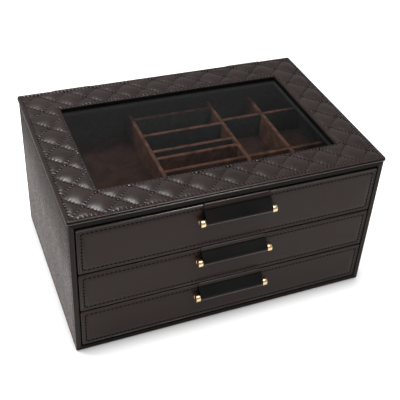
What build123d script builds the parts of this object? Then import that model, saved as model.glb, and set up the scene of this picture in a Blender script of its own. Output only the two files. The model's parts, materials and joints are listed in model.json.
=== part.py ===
from build123d import *
import math
import os

os.makedirs("parts", exist_ok=True)

# A jewelry organizer: a leather covered box with three drawers and a glazed, quilted lid.
# Millimetres. X is the width, the drawers open towards -Y, Z is up.
# The origin is the middle of the underside, on the surface that the box stands on.

# Overall sizes
lid_width = 300.0
lid_depth = 204.0
lid_overhang = 1.0
lid_corner_radius = 2.0

# Carcass: leather covered board, mitred at the four front corners
panel = 4.8
panel_edge_radius = 1.0
opening_edge_radius = 0.5
back_panel_thickness = 4.8
rail_depth = 12.0
shelf_thickness = 3.2
shelf_housing_depth = 1.5
glue_gap = 0.1
felt_thickness = 0.8
felt_inset = 4.0
side_seam_inset = 4.0
side_seam_drop = 8.0

# Drawer fronts, from the bottom up, and the gaps round them
bottom_front_height = 42.0
middle_front_height = 42.8
top_front_height = 49.0
gap_under_lowest_front = 0.8
gap_between_fronts = 1.6
gap_over_top_front = 2.9
drawer_side_gap = 0.9
front_thickness = 6.0
front_edge_radius = 1.0
front_back_edge_radius = 0.3
seam_inset = 3.8
seam_width = 0.9
seam_depth = 0.35

# Drawer boxes
wall_thickness = 4.0
wall_rebate = 2.0
base_thickness = 3.0
pad_thickness = 1.2
pad_edge_gap = 0.3
slide_gap = 0.3
stop_gap = 0.3
space_behind_drawers = 8.2
wall_top_below_shelf = 0.8
top_wall_below_front = 4.0

# Dividers
divider_thickness = 4.0
divider_height = 26.3
divider_top_radius = 0.8
top_left_divider_x = -41.5
top_middle_divider_x = 46.0
top_right_divider_x = 93.0
middle_bay_cross_y = (71.0, 39.5, 10.5, -1.5, -23.5)
right_bay_cross_y = (44.0, -23.5)
middle_drawer_divider_x = 47.0

# Pull: a leather strap stitched round a brass rod
strap_width = 64.0
strap_thickness = 1.0
strap_clearance = 0.05
strap_leg_length = 18.0
strap_pocket_gap = 0.1
strap_pocket_side_gap = 0.2
strap_seam_distance = 5.0
strap_hollow_start = 1.0
strap_hollow_radius = 0.1
rod_radius = 4.0
rod_length = 73.0
rod_end_chamfer = 0.4
rod_drop = 11.5
top_rod_drop = 15.5
rod_standoff = 5.5
rod_fit = 0.05

# Lid
lid_seam = 0.3
lid_board_edge = 2.0
lid_board_setback = 0.4
lid_board_chamfer = 1.1
lid_lip_depth = 6.1
lid_lip_gap = 0.6
window_margin_x = 34.8
window_margin_y = 35.7
window_corner_radius = 1.6
liner_thickness = 0.8
liner_rise = 0.6
glass_thickness = 2.0
glass_depth = 5.0
glass_rebate = 4.0
glass_edge_gap = 0.5
bead_gap = 0.1

# Quilted cover
cover_thickness = 1.6
cover_edge_chamfer = 0.9
cover_inner_chamfer = 0.7
outer_stitch_inset = 3.5
inner_stitch_inset = 2.3
stitch_groove_width = 1.4
stitch_groove_depth = 0.7
quilt_pitch = 30.3
channel_half_width = 7.0
channel_slope_depth = 0.42
seam_half_width = 1.5
seam_bottom_depth = 0.95

# Hinges
hinge_spacing = 190.0
hinge_length = 38.0
leaf_thickness = 0.9
leaf_height = 12.0
lid_leaf_drop = 5.0
leaf_fit = 0.1
knuckle_radius = 1.9
knuckle_gap = 0.25
knuckle_clearance = 0.4
middle_knuckle_share = 0.4
pin_radius = 0.8
pin_fit = 0.05
screw_head_radius = 1.6
screw_shank_radius = 0.8
screw_head_depth = 0.8
body_screw_length = 4.4
lid_screw_length = 8.0
screw_spacing = 24.0
screw_fit = 0.05

# Levels and faces that follow from the sizes above
half_body_width = lid_width / 2 - lid_overhang
half_body_depth = lid_depth / 2 - lid_overhang
half_inner_width = half_body_width - panel
body_front = -half_body_depth
body_back = half_body_depth
back_panel_face = body_back - back_panel_thickness
body_bottom = felt_thickness
bottom_panel_top = body_bottom + panel
bottom_front_z = bottom_panel_top + gap_under_lowest_front
bottom_front_top = bottom_front_z + bottom_front_height
middle_front_z = bottom_front_top + gap_between_fronts
middle_front_top = middle_front_z + middle_front_height
top_front_z = middle_front_top + gap_between_fronts
top_front_top = top_front_z + top_front_height
rail_bottom = top_front_top + gap_over_top_front
body_top = rail_bottom + panel
lid_bottom = body_top + lid_seam
cover_bottom = lid_bottom + lid_board_edge
lid_top = cover_bottom + cover_thickness
lower_shelf_z = bottom_front_top + gap_between_fronts / 2 - shelf_thickness / 2
upper_shelf_z = middle_front_top + gap_between_fronts / 2 - shelf_thickness / 2
front_rear_face = body_front + front_thickness
shelf_front = front_rear_face + stop_gap
half_drawer_width = half_inner_width - drawer_side_gap
drawer_back = back_panel_face - space_behind_drawers
inner_back_face = drawer_back - wall_thickness
half_drawer_inside = half_drawer_width - wall_thickness


def block(x0, x1, y0, y1, z0, z1):
    """A box between two corners."""
    middle = Pos((x0 + x1) / 2, (y0 + y1) / 2, (z0 + z1) / 2)
    return middle * Box(x1 - x0, y1 - y0, z1 - z0)


def plan_frame(outer_x, outer_y, inner_x, inner_y, z0, z1, outer_radius=0.0, inner_radius=0.0):
    """An upright rectangular frame, given by the half sizes of its outside and its window."""
    outside = rounded_plate(outer_x, outer_y, z0, z1, outer_radius)
    window = rounded_plate(inner_x, inner_y, z0 - 1, z1 + 1, inner_radius)
    return outside - window


def rounded_plate(half_x, half_y, z0, z1, radius):
    """A flat plate with rounded upright corners."""
    plate = block(-half_x, half_x, -half_y, half_y, z0, z1)
    if radius > 0:
        plate = fillet(plate.edges().filter_by(Axis.Z), radius)
    return plate


def save(name, shape):
    """Write one node."""
    export_step(shape, "parts/" + name + ".step")


# Carcass
def side_housing(side, shelf_z):
    """The groove in a side panel that takes the end of a shelf."""
    deep = half_inner_width + shelf_housing_depth + glue_gap
    x0, x1 = sorted((side * (half_inner_width - 1), side * deep))
    low = shelf_z - glue_gap / 2
    high = shelf_z + shelf_thickness + glue_gap / 2
    return block(x0, x1, shelf_front - glue_gap, back_panel_face, low, high)


def side_seam(side):
    """The sewn groove that runs round the outside of a side panel."""
    x0, x1 = sorted((side * (half_body_width - seam_depth), side * (half_body_width + 1)))
    front = body_front + side_seam_inset
    back = body_back - side_seam_inset
    low = body_bottom + side_seam_inset
    high = body_top - side_seam_drop
    seam = block(x0, x1, front, back, low, high)
    w = seam_width
    return seam - block(x0 - 1, x1 + 1, front + w, back - w, low + w, high - w)


def is_outer_edge(edge):
    """True for an edge where two outer faces of the carcass meet."""
    c = edge.center()
    at_side = abs(abs(c.X) - half_body_width) < 0.01
    at_front = abs(c.Y - body_front) < 0.01
    at_level = abs(c.Z - body_bottom) < 0.01 or abs(c.Z - body_top) < 0.01
    return (at_side and at_front) or (at_side and at_level) or (at_front and at_level)


def is_opening_edge(edge):
    """True for an edge round the front opening."""
    c = edge.center()
    at_front = abs(c.Y - body_front) < 0.01
    on_side = abs(abs(c.X) - half_inner_width) < 0.01
    on_sill = abs(c.Z - bottom_panel_top) < 0.01 or abs(c.Z - rail_bottom) < 0.01
    return at_front and (on_side or (on_sill and abs(c.X) < half_inner_width))


def carcass_shell():
    """Sides, bottom and front top rail as one folded shell, before it is cut at its mitres."""
    w = half_body_width
    inside = half_inner_width
    rail_back = body_front + rail_depth
    shell = block(-w, w, body_front, body_back, body_bottom, body_top)
    shell -= block(-inside, inside, body_front - 1, body_back + 1, bottom_panel_top, rail_bottom)
    shell -= block(-inside, inside, rail_back, body_back + 1, rail_bottom - 1, body_top + 1)
    shell = fillet(shell.edges().filter_by(is_outer_edge), panel_edge_radius)
    return fillet(shell.edges().filter_by(is_opening_edge), opening_edge_radius)


def mitre_prism(wide_level, narrow_level):
    """The space of a level board whose ends are cut at 45 degrees."""
    reach = 2.0
    step = 1 if narrow_level > wide_level else -1
    wide = half_body_width + reach
    narrow = half_inner_width
    outline = Polyline(
        (-wide, wide_level - step * reach),
        (wide, wide_level - step * reach),
        (narrow, narrow_level),
        (-narrow, narrow_level),
        close=True,
    )
    upright = Plane.XZ * make_face(outline.edges())
    return Pos(0, lid_depth, 0) * extrude(upright, 2 * lid_depth)


def build_carcass():
    """Save the mitred panels, the back, the shelves and the felt under the base."""
    shell = carcass_shell()
    rail_end = body_front + rail_depth
    w = half_body_width + 1
    rail_zone = block(-w, w, body_front - 1, rail_end, rail_bottom - 1, body_top + 1)
    bottom = shell & mitre_prism(body_bottom, bottom_panel_top)
    rail = shell & mitre_prism(body_top, rail_bottom) & rail_zone
    sides = shell - bottom - rail
    for sign, name in ((-1, "left_side_panel"), (1, "right_side_panel")):
        x0, x1 = sorted((0, sign * w))
        side = sides & block(x0, x1, body_front - 1, body_back + 1, 0, body_top + 1)
        side -= side_housing(sign, lower_shelf_z)
        side -= side_housing(sign, upper_shelf_z)
        side -= side_seam(sign)
        save(name, side)
    save("bottom_panel", bottom)
    save("front_top_rail", rail)

    inside = half_inner_width
    back = block(-inside, inside, back_panel_face, body_back, bottom_panel_top, body_top)
    for hinge_x in (-hinge_spacing / 2, hinge_spacing / 2):
        for hole in body_screws(hinge_x, screw_fit):
            back -= hole
    save("back_panel", back)

    end = inside + shelf_housing_depth
    for name, z in (("lower_shelf", lower_shelf_z), ("upper_shelf", upper_shelf_z)):
        shelf = block(-end, end, shelf_front, back_panel_face, z, z + shelf_thickness)
        save(name, shelf)

    x = half_body_width - felt_inset
    y = half_body_depth - felt_inset
    save("base_felt", block(-x, x, -y, y, 0, felt_thickness))


# Hinge screws
def sunk_screw(length, fit):
    """A screw along Z whose cone head ends at z = 0, grown by its fit where it cuts its hole."""
    r = screw_shank_radius + fit
    outline = Polyline(
        (0, 0),
        (screw_head_radius + fit, 0),
        (r, -screw_head_depth - fit),
        (r, -length - fit),
        (0, -length - fit),
        close=True,
    )
    return revolve(Plane.XZ * make_face(outline.edges()), Axis.Z)


def screw_pair(hinge_x, face_y, z, length, fit):
    """The two screws of one hinge leaf, with their heads towards the back."""
    screws = []
    for sign in (-1, 1):
        place = Pos(hinge_x + sign * screw_spacing / 2, face_y, z) * Rot(-90, 0, 0)
        screws.append(place * sunk_screw(length, fit))
    return screws


def body_screws(hinge_x, fit=0.0):
    """The screws that hold one hinge leaf to the outside of the back panel."""
    z = hinge_axis_z - knuckle_radius - leaf_height / 2
    return screw_pair(hinge_x, body_back + leaf_thickness, z, body_screw_length, fit)


def lid_screws(hinge_x, fit=0.0):
    """The screws that hold one hinge leaf to the back of the lid's lip."""
    return screw_pair(hinge_x, lip_back, lid_bottom - lid_leaf_drop / 2, lid_screw_length, fit)


# Hinges
hinge_axis_y = lid_depth / 2 + knuckle_clearance + knuckle_radius
hinge_axis_z = body_top + lid_seam / 2
lip_back = back_panel_face - lid_lip_gap
lip_front = body_front + rail_depth + lid_lip_gap
lip_half_width = half_inner_width - lid_lip_gap
lip_bottom = lid_bottom - lid_lip_depth


def knuckle(x0, x1):
    """A stretch of hinge barrel with its bore."""
    middle = Pos((x0 + x1) / 2, hinge_axis_y, hinge_axis_z) * Rot(0, 90, 0)
    length = x1 - x0
    return middle * (Cylinder(knuckle_radius, length) - Cylinder(pin_radius + pin_fit, length + 1))


def barrel_stretches(hinge_x):
    """The ends of the outer, middle and outer knuckles along one hinge."""
    half = hinge_length / 2
    half_middle = hinge_length * middle_knuckle_share / 2
    left = (hinge_x - half, hinge_x - half_middle - knuckle_gap)
    middle = (hinge_x - half_middle, hinge_x + half_middle)
    right = (hinge_x + half_middle + knuckle_gap, hinge_x + half)
    return left, middle, right


def bore(hinge_x):
    """The space of the pin in the barrel."""
    place = Pos(hinge_x, hinge_axis_y, hinge_axis_z) * Rot(0, 90, 0)
    return place * Cylinder(pin_radius + pin_fit, hinge_length + 2)


def body_leaf(hinge_x):
    """A leaf on the outside of the back panel, bent out under the barrel."""
    left, middle, right = barrel_stretches(hinge_x)
    half = hinge_length / 2
    web_bottom = hinge_axis_z - knuckle_radius
    web_top = web_bottom + leaf_thickness
    leaf_bottom = web_bottom - leaf_height
    x0 = hinge_x - half
    x1 = hinge_x + half
    leaf = block(x0, x1, body_back, body_back + leaf_thickness, leaf_bottom, web_top)
    for a, b in (left, right):
        leaf += block(a, b, body_back, hinge_axis_y, web_bottom, web_top)
        leaf += knuckle(a, b)
    leaf -= bore(hinge_x)
    for hole in body_screws(hinge_x, screw_fit):
        leaf -= hole
    return leaf


def lid_leaf(hinge_x):
    """A leaf let into the underside of the lid and the back of its lip."""
    a, b = barrel_stretches(hinge_x)[1]
    half = hinge_length / 2
    x0 = hinge_x - half
    x1 = hinge_x + half
    lip_side = lip_back - leaf_thickness
    top = lid_bottom + leaf_thickness
    leaf = block(x0, x1, lip_side, lip_back, lid_bottom - lid_leaf_drop, top)
    leaf += block(x0, x1, lip_side, lid_depth / 2 - lid_board_setback, lid_bottom, top)
    leaf += block(a, b, lip_side, hinge_axis_y, lid_bottom, top)
    leaf += knuckle(a, b)
    leaf -= bore(hinge_x)
    for hole in lid_screws(hinge_x, screw_fit):
        leaf -= hole
    return leaf


def lid_leaf_recess(hinge_x):
    """The shallow recess in the lid that takes its hinge leaf."""
    half = hinge_length / 2 + leaf_fit
    lip_side = lip_back - leaf_thickness - leaf_fit
    top = lid_bottom + leaf_thickness + leaf_fit
    low = lid_bottom - lid_leaf_drop - leaf_fit
    x0 = hinge_x - half
    x1 = hinge_x + half
    recess = block(x0, x1, lip_side, lip_back + 1, low, lid_bottom)
    return recess + block(x0, x1, lip_side, lid_depth, lid_bottom - 1, top)


def build_hinges():
    """Save leaves, pins and screws, each kind as a group of separate solids."""
    body_leaves = []
    lid_leaves = []
    pins = []
    back_screws = []
    lip_screws = []
    for hinge_x in (-hinge_spacing / 2, hinge_spacing / 2):
        body_leaves.append(body_leaf(hinge_x))
        lid_leaves.append(lid_leaf(hinge_x))
        place = Pos(hinge_x, hinge_axis_y, hinge_axis_z) * Rot(0, 90, 0)
        pins.append(place * Cylinder(pin_radius, hinge_length))
        back_screws += body_screws(hinge_x)
        lip_screws += lid_screws(hinge_x)
    save("hinge_body_leaves", Compound(children=body_leaves))
    save("hinge_lid_leaves", Compound(children=lid_leaves))
    save("hinge_pins", Compound(children=pins))
    save("hinge_body_screws", Compound(children=back_screws))
    save("hinge_lid_screws", Compound(children=lip_screws))


# Lid
half_window_x = lid_width / 2 - window_margin_x
half_window_y = lid_depth / 2 - window_margin_y
half_board_window_x = half_window_x + liner_thickness
half_board_window_y = half_window_y + liner_thickness
glass_top = lid_top - glass_depth
glass_bottom = glass_top - glass_thickness


def lid_board():
    """The lid's board: a flange that covers the carcass and a lip that drops inside it."""
    edge_x = lid_width / 2 - lid_board_setback
    edge_y = lid_depth / 2 - lid_board_setback
    flange = rounded_plate(edge_x, edge_y, lid_bottom, cover_bottom, lid_corner_radius)
    flange = chamfer(flange.edges().group_by(Axis.Z)[0], lid_board_chamfer)
    w = lip_half_width
    board = flange + block(-w, w, lip_front, lip_back, lip_bottom, lid_bottom)
    window_x = half_board_window_x
    window_y = half_board_window_y
    below = lip_bottom - 1
    board -= rounded_plate(window_x, window_y, below, cover_bottom + 1, window_corner_radius)
    rebate_x = half_window_x + glass_rebate
    rebate_y = half_window_y + glass_rebate
    board -= block(-rebate_x, rebate_x, -rebate_y, rebate_y, below, glass_top)
    for hinge_x in (-hinge_spacing / 2, hinge_spacing / 2):
        board -= lid_leaf_recess(hinge_x)
        for hole in lid_screws(hinge_x, screw_fit):
            board -= hole
    return board


def rail_sector(side_x, side_y):
    """The quarter of the lid that belongs to one rail, bounded by the lines of the mitres."""
    far = lid_width
    corner_x = half_window_x
    corner_y = half_window_y
    if side_x:
        outline = Polyline(
            (side_x * (corner_x - corner_y), 0),
            (side_x * (corner_x + far), corner_y + far),
            (side_x * (corner_x + far), -corner_y - far),
            close=True,
        )
    else:
        outline = Polyline(
            (-(corner_x - corner_y), 0),
            (corner_x - corner_y, 0),
            (corner_x + far, side_y * (corner_y + far)),
            (-corner_x - far, side_y * (corner_y + far)),
            close=True,
        )
    return Pos(0, 0, lip_bottom - 1) * extrude(make_face(outline.edges()), lid_top)


def build_lid():
    """Save the mitred rails, the liner, the glass and the bead that holds it."""
    board = lid_board()
    rails = (
        ("lid_rail_left", -1, 0),
        ("lid_rail_right", 1, 0),
        ("lid_rail_front", 0, -1),
        ("lid_rail_back", 0, 1),
    )
    for name, side_x, side_y in rails:
        save(name, board & rail_sector(side_x, side_y))

    liner = plan_frame(
        half_board_window_x,
        half_board_window_y,
        half_window_x,
        half_window_y,
        glass_top,
        cover_bottom + liner_rise,
        window_corner_radius,
        window_corner_radius - liner_thickness,
    )
    save("window_liner", liner)

    rebate_x = half_window_x + glass_rebate
    rebate_y = half_window_y + glass_rebate
    pane_x = rebate_x - glass_edge_gap
    pane_y = rebate_y - glass_edge_gap
    save("window_glass", block(-pane_x, pane_x, -pane_y, pane_y, glass_bottom, glass_top))
    bead_x = rebate_x - bead_gap
    bead_y = rebate_y - bead_gap
    bead = plan_frame(bead_x, bead_y, half_window_x, half_window_y, lip_bottom, glass_bottom)
    save("glass_bead", bead)


# Quilted cover
def channel_profile():
    """Section of a sewn channel: a narrow seam at the foot of two long slopes."""
    over = 1.0
    wide = channel_half_width
    points = [
        (-wide, over),
        (-wide, 0),
        (-seam_half_width, -channel_slope_depth),
        (0, -seam_bottom_depth),
        (seam_half_width, -channel_slope_depth),
        (wide, 0),
        (wide, over),
    ]
    return make_face(Polyline(*points, close=True).edges())


def diagonal_channel(offset, angle):
    """A sewn channel along a diagonal that passes at a distance from the lid's middle."""
    length = lid_width + lid_depth
    section = Plane.XZ * channel_profile()
    bar = Pos(0, length / 2, 0) * extrude(section, length)
    return Pos(0, 0, lid_top) * Rot(0, 0, angle) * Pos(offset, 0, 0) * bar


def diagonal_offsets(start_x, start_y, angle):
    """Distances from the middle of all diagonals of one family that cross the lid."""
    turn = math.radians(angle)
    spacing = quilt_pitch / math.sqrt(2)
    first = start_x * math.cos(turn) + start_y * math.sin(turn)
    reach = (lid_width + lid_depth) / 2 / math.sqrt(2)
    low = math.ceil((-reach - first) / spacing)
    high = math.floor((reach - first) / spacing)
    return [first + i * spacing for i in range(low, high + 1)]


def build_cover():
    """Save the padded leather cover with its diamonds and its two straight stitch rows."""
    w = lid_width / 2
    d = lid_depth / 2
    inner_x = half_board_window_x
    inner_y = half_board_window_y
    cover = rounded_plate(w, d, cover_bottom, lid_top, lid_corner_radius)
    cover = chamfer(cover.edges().group_by(Axis.Z)[-1], cover_edge_chamfer)
    window = rounded_plate(inner_x, inner_y, cover_bottom - 1, lid_top + 1, window_corner_radius)
    cover -= window
    rim = [e for e in cover.edges().group_by(Axis.Z)[-1] if abs(e.center().X) <= inner_x + 0.01]
    rim = [e for e in rim if abs(e.center().Y) <= inner_y + 0.01]
    cover = chamfer(rim, cover_inner_chamfer)

    outer_x = w - outer_stitch_inset
    outer_y = d - outer_stitch_inset
    row_x = half_window_x + inner_stitch_inset
    row_y = half_window_y + inner_stitch_inset
    field = plan_frame(outer_x, outer_y, row_x, row_y, cover_bottom, lid_top + 1)
    node_x = -(w + half_window_x) / 2
    node_y = -(d + half_window_y) / 2
    channels = []
    for angle in (45, -45):
        for offset in diagonal_offsets(node_x, node_y, angle):
            channels.append(diagonal_channel(offset, angle))
    quilted = cover & field
    for channel in channels:
        quilted -= channel
    quilted += cover - field
    half = stitch_groove_width / 2
    groove_bottom = lid_top - stitch_groove_depth
    for x, y in ((outer_x, outer_y), (row_x, row_y)):
        quilted -= plan_frame(x + half, y + half, x - half, y - half, groove_bottom, lid_top + 1)
    save("quilted_cover", quilted)


# Drawers
class Drawer:
    """The heights of one drawer."""

    def __init__(self, name, front_z, front_height, support_z, wall_top, drop=rod_drop):
        self.name = name
        self.front_z = front_z
        self.front_top = front_z + front_height
        self.base_z = support_z + slide_gap
        self.floor_z = self.base_z + base_thickness + pad_thickness
        self.wall_top = wall_top
        self.rod_z = self.front_top - drop


def strap_points(drawer):
    """Middle of the fold, middle of the rod, slant of the strap and start of its seam, in Y and Z."""
    fold_y = body_front + front_edge_radius
    fold_z = drawer.front_top - front_edge_radius
    rod_y = body_front - rod_standoff
    rod_z = drawer.rod_z
    out = fold_y - rod_y
    down = fold_z - rod_z
    fold_outer = front_edge_radius + strap_clearance + strap_thickness
    loop_outer = rod_radius + rod_fit + strap_thickness
    slant = math.atan2(out, down) + math.asin((loop_outer - fold_outer) / math.hypot(out, down))
    return (fold_y, fold_z), (rod_y, rod_z), slant


def disc(y, z, radius):
    """A round face in the YZ plane, drawn with Y across and Z up."""
    return Pos(y, z) * Circle(radius)


def strap_profile(drawer):
    """Section of the strap: leg in the pocket, fold over the front, and loop round the rod."""
    fold, rod, slant = strap_points(drawer)
    t = strap_thickness
    inner = front_edge_radius + strap_clearance
    outer = inner + t
    out_y = -math.cos(slant)
    out_z = math.sin(slant)
    down_y = -math.sin(slant)
    down_z = -math.cos(slant)
    seam_y = fold[0] + inner * out_y + strap_seam_distance * down_y
    seam_z = fold[1] + inner * out_z + strap_seam_distance * down_z
    hollow_y = seam_y + strap_hollow_start * down_y - strap_hollow_radius * out_y
    hollow_z = seam_z + strap_hollow_start * down_z - strap_hollow_radius * out_z
    loop_inner = rod_radius + rod_fit

    loop = make_hull((disc(seam_y, seam_z, t) + disc(*rod, loop_inner + t)).edges())
    loop -= make_hull((disc(hollow_y, hollow_z, strap_hollow_radius) + disc(*rod, loop_inner)).edges())
    slope = make_face(
        Polyline(
            (fold[0] + outer * out_y, fold[1] + outer * out_z),
            (fold[0] + inner * out_y, fold[1] + inner * out_z),
            (seam_y, seam_z),
            (seam_y + t * out_y, seam_z + t * out_z),
            close=True,
        ).edges()
    )
    bend = disc(*fold, outer) - disc(*fold, inner)
    keep = make_face(
        Polyline(
            (fold[0], fold[1]),
            (fold[0], fold[1] + 2 * outer),
            (fold[0] - 2 * outer, fold[1] + 2 * outer),
            (fold[0] + 2 * outer * out_y, fold[1] + 2 * outer * out_z),
            close=True,
        ).edges()
    )
    bend &= keep
    top_z = fold[1] + outer
    over = Pos((fold[0] + front_rear_face) / 2, top_z - t / 2) * Rectangle(front_rear_face - fold[0], t)
    leg_low = drawer.front_top - strap_leg_length
    leg = Pos(front_rear_face - t / 2, (top_z + leg_low) / 2) * Rectangle(t, top_z - leg_low)
    return loop + slope + bend + over + leg


def build_front(drawer):
    """The drawer front with its seam line, and the pocket for the strap's leg."""
    w = half_drawer_width
    front = block(-w, w, body_front, front_rear_face, drawer.front_z, drawer.front_top)
    face_edges = front.edges().group_by(Axis.Y)[0]
    front = fillet(face_edges, front_edge_radius)
    rear_edges = front.edges().group_by(Axis.Y)[-1]
    front = fillet(rear_edges, front_back_edge_radius)
    seam_x = w - seam_inset
    low = drawer.front_z + seam_inset
    high = drawer.front_top - seam_inset
    y0 = body_front - 1
    y1 = body_front + seam_depth
    seam = block(-seam_x, seam_x, y0, y1, low, high)
    inner_x = seam_x - seam_width
    seam -= block(-inner_x, inner_x, y0 - 1, y1 + 1, low + seam_width, high - seam_width)
    front -= seam
    pocket_x = strap_width / 2 + strap_pocket_side_gap
    pocket_y = front_rear_face - strap_thickness - strap_pocket_gap
    pocket_z = drawer.front_top - strap_leg_length - strap_pocket_gap
    top = drawer.front_top + 1
    return front - block(-pocket_x, pocket_x, pocket_y, front_rear_face + 1, pocket_z, top)


def build_walls(drawer):
    """Save the walls and the base board, rebated into each other."""
    w = half_drawer_width
    inside = half_drawer_inside
    rebate = w - wall_rebate
    base_top = drawer.base_z + base_thickness
    for sign, side in ((-1, "left"), (1, "right")):
        x0, x1 = sorted((sign * inside, sign * w))
        wall = block(x0, x1, front_rear_face, drawer_back, drawer.base_z, drawer.wall_top)
        r0, r1 = sorted((sign * (inside - 1), sign * rebate))
        wall -= block(r0, r1, front_rear_face - 1, inner_back_face, drawer.base_z - 1, base_top)
        wall -= block(r0, r1, inner_back_face, drawer_back + 1, drawer.base_z - 1, drawer.wall_top + 1)
        save(drawer.name + "_" + side + "_wall", wall)
    back = block(-rebate, rebate, inner_back_face, drawer_back, drawer.base_z, drawer.wall_top)
    save(drawer.name + "_back_wall", back)
    base = block(-rebate, rebate, front_rear_face, inner_back_face, drawer.base_z, base_top)
    save(drawer.name + "_base", base)
    pad_x = inside - pad_edge_gap
    pad_front = front_rear_face + pad_edge_gap
    pad_back = inner_back_face - pad_edge_gap
    pad = block(-pad_x, pad_x, pad_front, pad_back, base_top, drawer.floor_z)
    save(drawer.name + "_floor_pad", pad)


def build_pull(drawer):
    """Save the strap and its rod."""
    profile = Plane.YZ * strap_profile(drawer)
    strap = Pos(-strap_width / 2, 0, 0) * extrude(profile, strap_width)
    save(drawer.name + "_pull_strap", strap)
    rod_y = body_front - rod_standoff
    rod = Pos(0, rod_y, drawer.rod_z) * Rot(0, 90, 0) * Cylinder(rod_radius, rod_length)
    ends = rod.edges().filter_by(GeomType.CIRCLE)
    save(drawer.name + "_pull_rod", chamfer(ends, rod_end_chamfer))


def long_divider(drawer, x):
    """A divider from the front to the back of a drawer."""
    half = divider_thickness / 2
    y0 = front_rear_face + pad_edge_gap
    y1 = inner_back_face - glue_gap
    z1 = drawer.floor_z + divider_height
    divider = block(x - half, x + half, y0, y1, drawer.floor_z, z1)
    tops = divider.edges().filter_by(Axis.Y).group_by(Axis.Z)[-1]
    return fillet(tops, divider_top_radius)


def cross_divider(drawer, x0, x1, y):
    """A divider from side to side between two faces."""
    half = divider_thickness / 2
    z1 = drawer.floor_z + divider_height
    divider = block(x0 + glue_gap, x1 - glue_gap, y - half, y + half, drawer.floor_z, z1)
    tops = divider.edges().filter_by(Axis.X).group_by(Axis.Z)[-1]
    return fillet(tops, divider_top_radius)


def build_top_dividers(drawer):
    """Save the dividers of the top drawer, with halved joints where two cross."""
    half = divider_thickness / 2
    left = long_divider(drawer, top_left_divider_x)
    middle = long_divider(drawer, top_middle_divider_x)
    right = long_divider(drawer, top_right_divider_x)
    halfway = drawer.floor_z + divider_height / 2
    high = drawer.floor_z + divider_height + 1
    slot_x = half + glue_gap
    number = 0
    for y in middle_bay_cross_y:
        number += 1
        divider = cross_divider(drawer, top_left_divider_x + half, top_middle_divider_x - half, y)
        save("top_drawer_middle_bay_divider_" + str(number), divider)
    number = 0
    for y in right_bay_cross_y:
        number += 1
        x0 = top_middle_divider_x + half
        divider = cross_divider(drawer, x0, half_drawer_inside, y)
        x = top_right_divider_x
        low = drawer.floor_z - 1
        divider -= block(x - slot_x, x + slot_x, y - half - 1, y + half + 1, low, halfway + glue_gap)
        right -= block(x - half - 1, x + half + 1, y - slot_x, y + slot_x, halfway, high)
        save("top_drawer_right_bay_divider_" + str(number), divider)
    save("top_drawer_left_divider", left)
    save("top_drawer_middle_divider", middle)
    save("top_drawer_right_divider", right)


def build_drawers():
    """Save the three drawers."""
    bottom = Drawer(
        "bottom_drawer",
        bottom_front_z,
        bottom_front_height,
        bottom_panel_top,
        lower_shelf_z - wall_top_below_shelf,
    )
    middle = Drawer(
        "middle_drawer",
        middle_front_z,
        middle_front_height,
        lower_shelf_z + shelf_thickness,
        upper_shelf_z - wall_top_below_shelf,
    )
    top = Drawer(
        "top_drawer",
        top_front_z,
        top_front_height,
        upper_shelf_z + shelf_thickness,
        top_front_top - top_wall_below_front,
        top_rod_drop,
    )
    for drawer in (bottom, middle, top):
        save(drawer.name + "_front", build_front(drawer))
        build_walls(drawer)
        build_pull(drawer)
    for sign, side in ((-1, "left"), (1, "right")):
        divider = long_divider(middle, sign * middle_drawer_divider_x)
        save("middle_drawer_" + side + "_divider", divider)
    build_top_dividers(top)


build_carcass()
build_hinges()
build_lid()
build_cover()
build_drawers()
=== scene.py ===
"""A leather jewelry organizer with three drawers and a glazed, quilted lid, dressed around its frame."""

import json
import logging
import math
from dataclasses import dataclass, field
from enum import Enum
from typing import Callable, Dict, List, Sequence, Tuple

import bpy
import numpy as np
from mathutils import Matrix, Vector


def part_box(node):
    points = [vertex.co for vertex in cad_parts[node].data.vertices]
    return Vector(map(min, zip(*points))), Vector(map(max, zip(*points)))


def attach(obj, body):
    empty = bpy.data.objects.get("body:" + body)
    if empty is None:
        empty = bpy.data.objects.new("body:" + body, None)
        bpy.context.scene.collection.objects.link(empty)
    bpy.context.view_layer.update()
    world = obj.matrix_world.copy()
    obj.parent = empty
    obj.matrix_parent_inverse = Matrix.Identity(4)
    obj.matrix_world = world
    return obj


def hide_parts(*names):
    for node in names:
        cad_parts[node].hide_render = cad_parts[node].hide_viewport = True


MM = 0.001
WELD = 0.001 * MM
NEAR = 10 * WELD
OVERSHOOT = 1.0 * MM
# How straight a face looks along an axis, as a cosine: roughly, and exactly
FACING = 0.9
FLUSH = 0.99
UP = (0, 0, 1)
Point = Tuple[float, float, float]
Flat = Tuple[float, float]
Colour = Tuple[float, float, float]
Mesh = bpy.types.Object
Material = bpy.types.Material
Tree = bpy.types.NodeTree
Node = bpy.types.Node
Socket = bpy.types.NodeSocket
FaceTest = Callable[[np.ndarray, np.ndarray], np.ndarray]

log = logging.getLogger("jewelry_organizer")
logging.basicConfig(level=logging.INFO, format="%(message)s")


# Working on meshes


def free_hands() -> None:
    """Leaves edit mode and deselects everything."""
    if bpy.context.object is not None and bpy.context.object.mode != "OBJECT":
        put_down()
    bpy.ops.object.select_all(action="DESELECT")


def put_down() -> None:
    """Leaves edit mode."""
    bpy.ops.object.mode_set(mode="OBJECT")


def take_up(piece: Mesh) -> Mesh:
    """Selects one piece alone and makes it active.

    Args:
        piece: The object to work on.

    Returns:
        The same object.
    """
    free_hands()
    piece.select_set(True)
    bpy.context.view_layer.objects.active = piece
    return piece


def open_up(piece: Mesh) -> None:
    """Enters edit mode with all of a piece selected."""
    take_up(piece)
    bpy.ops.object.mode_set(mode="EDIT")
    bpy.ops.mesh.select_all(action="SELECT")


def close_up() -> None:
    """Points the selected faces outwards and leaves edit mode."""
    bpy.ops.mesh.normals_make_consistent(inside=False)
    put_down()


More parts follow.
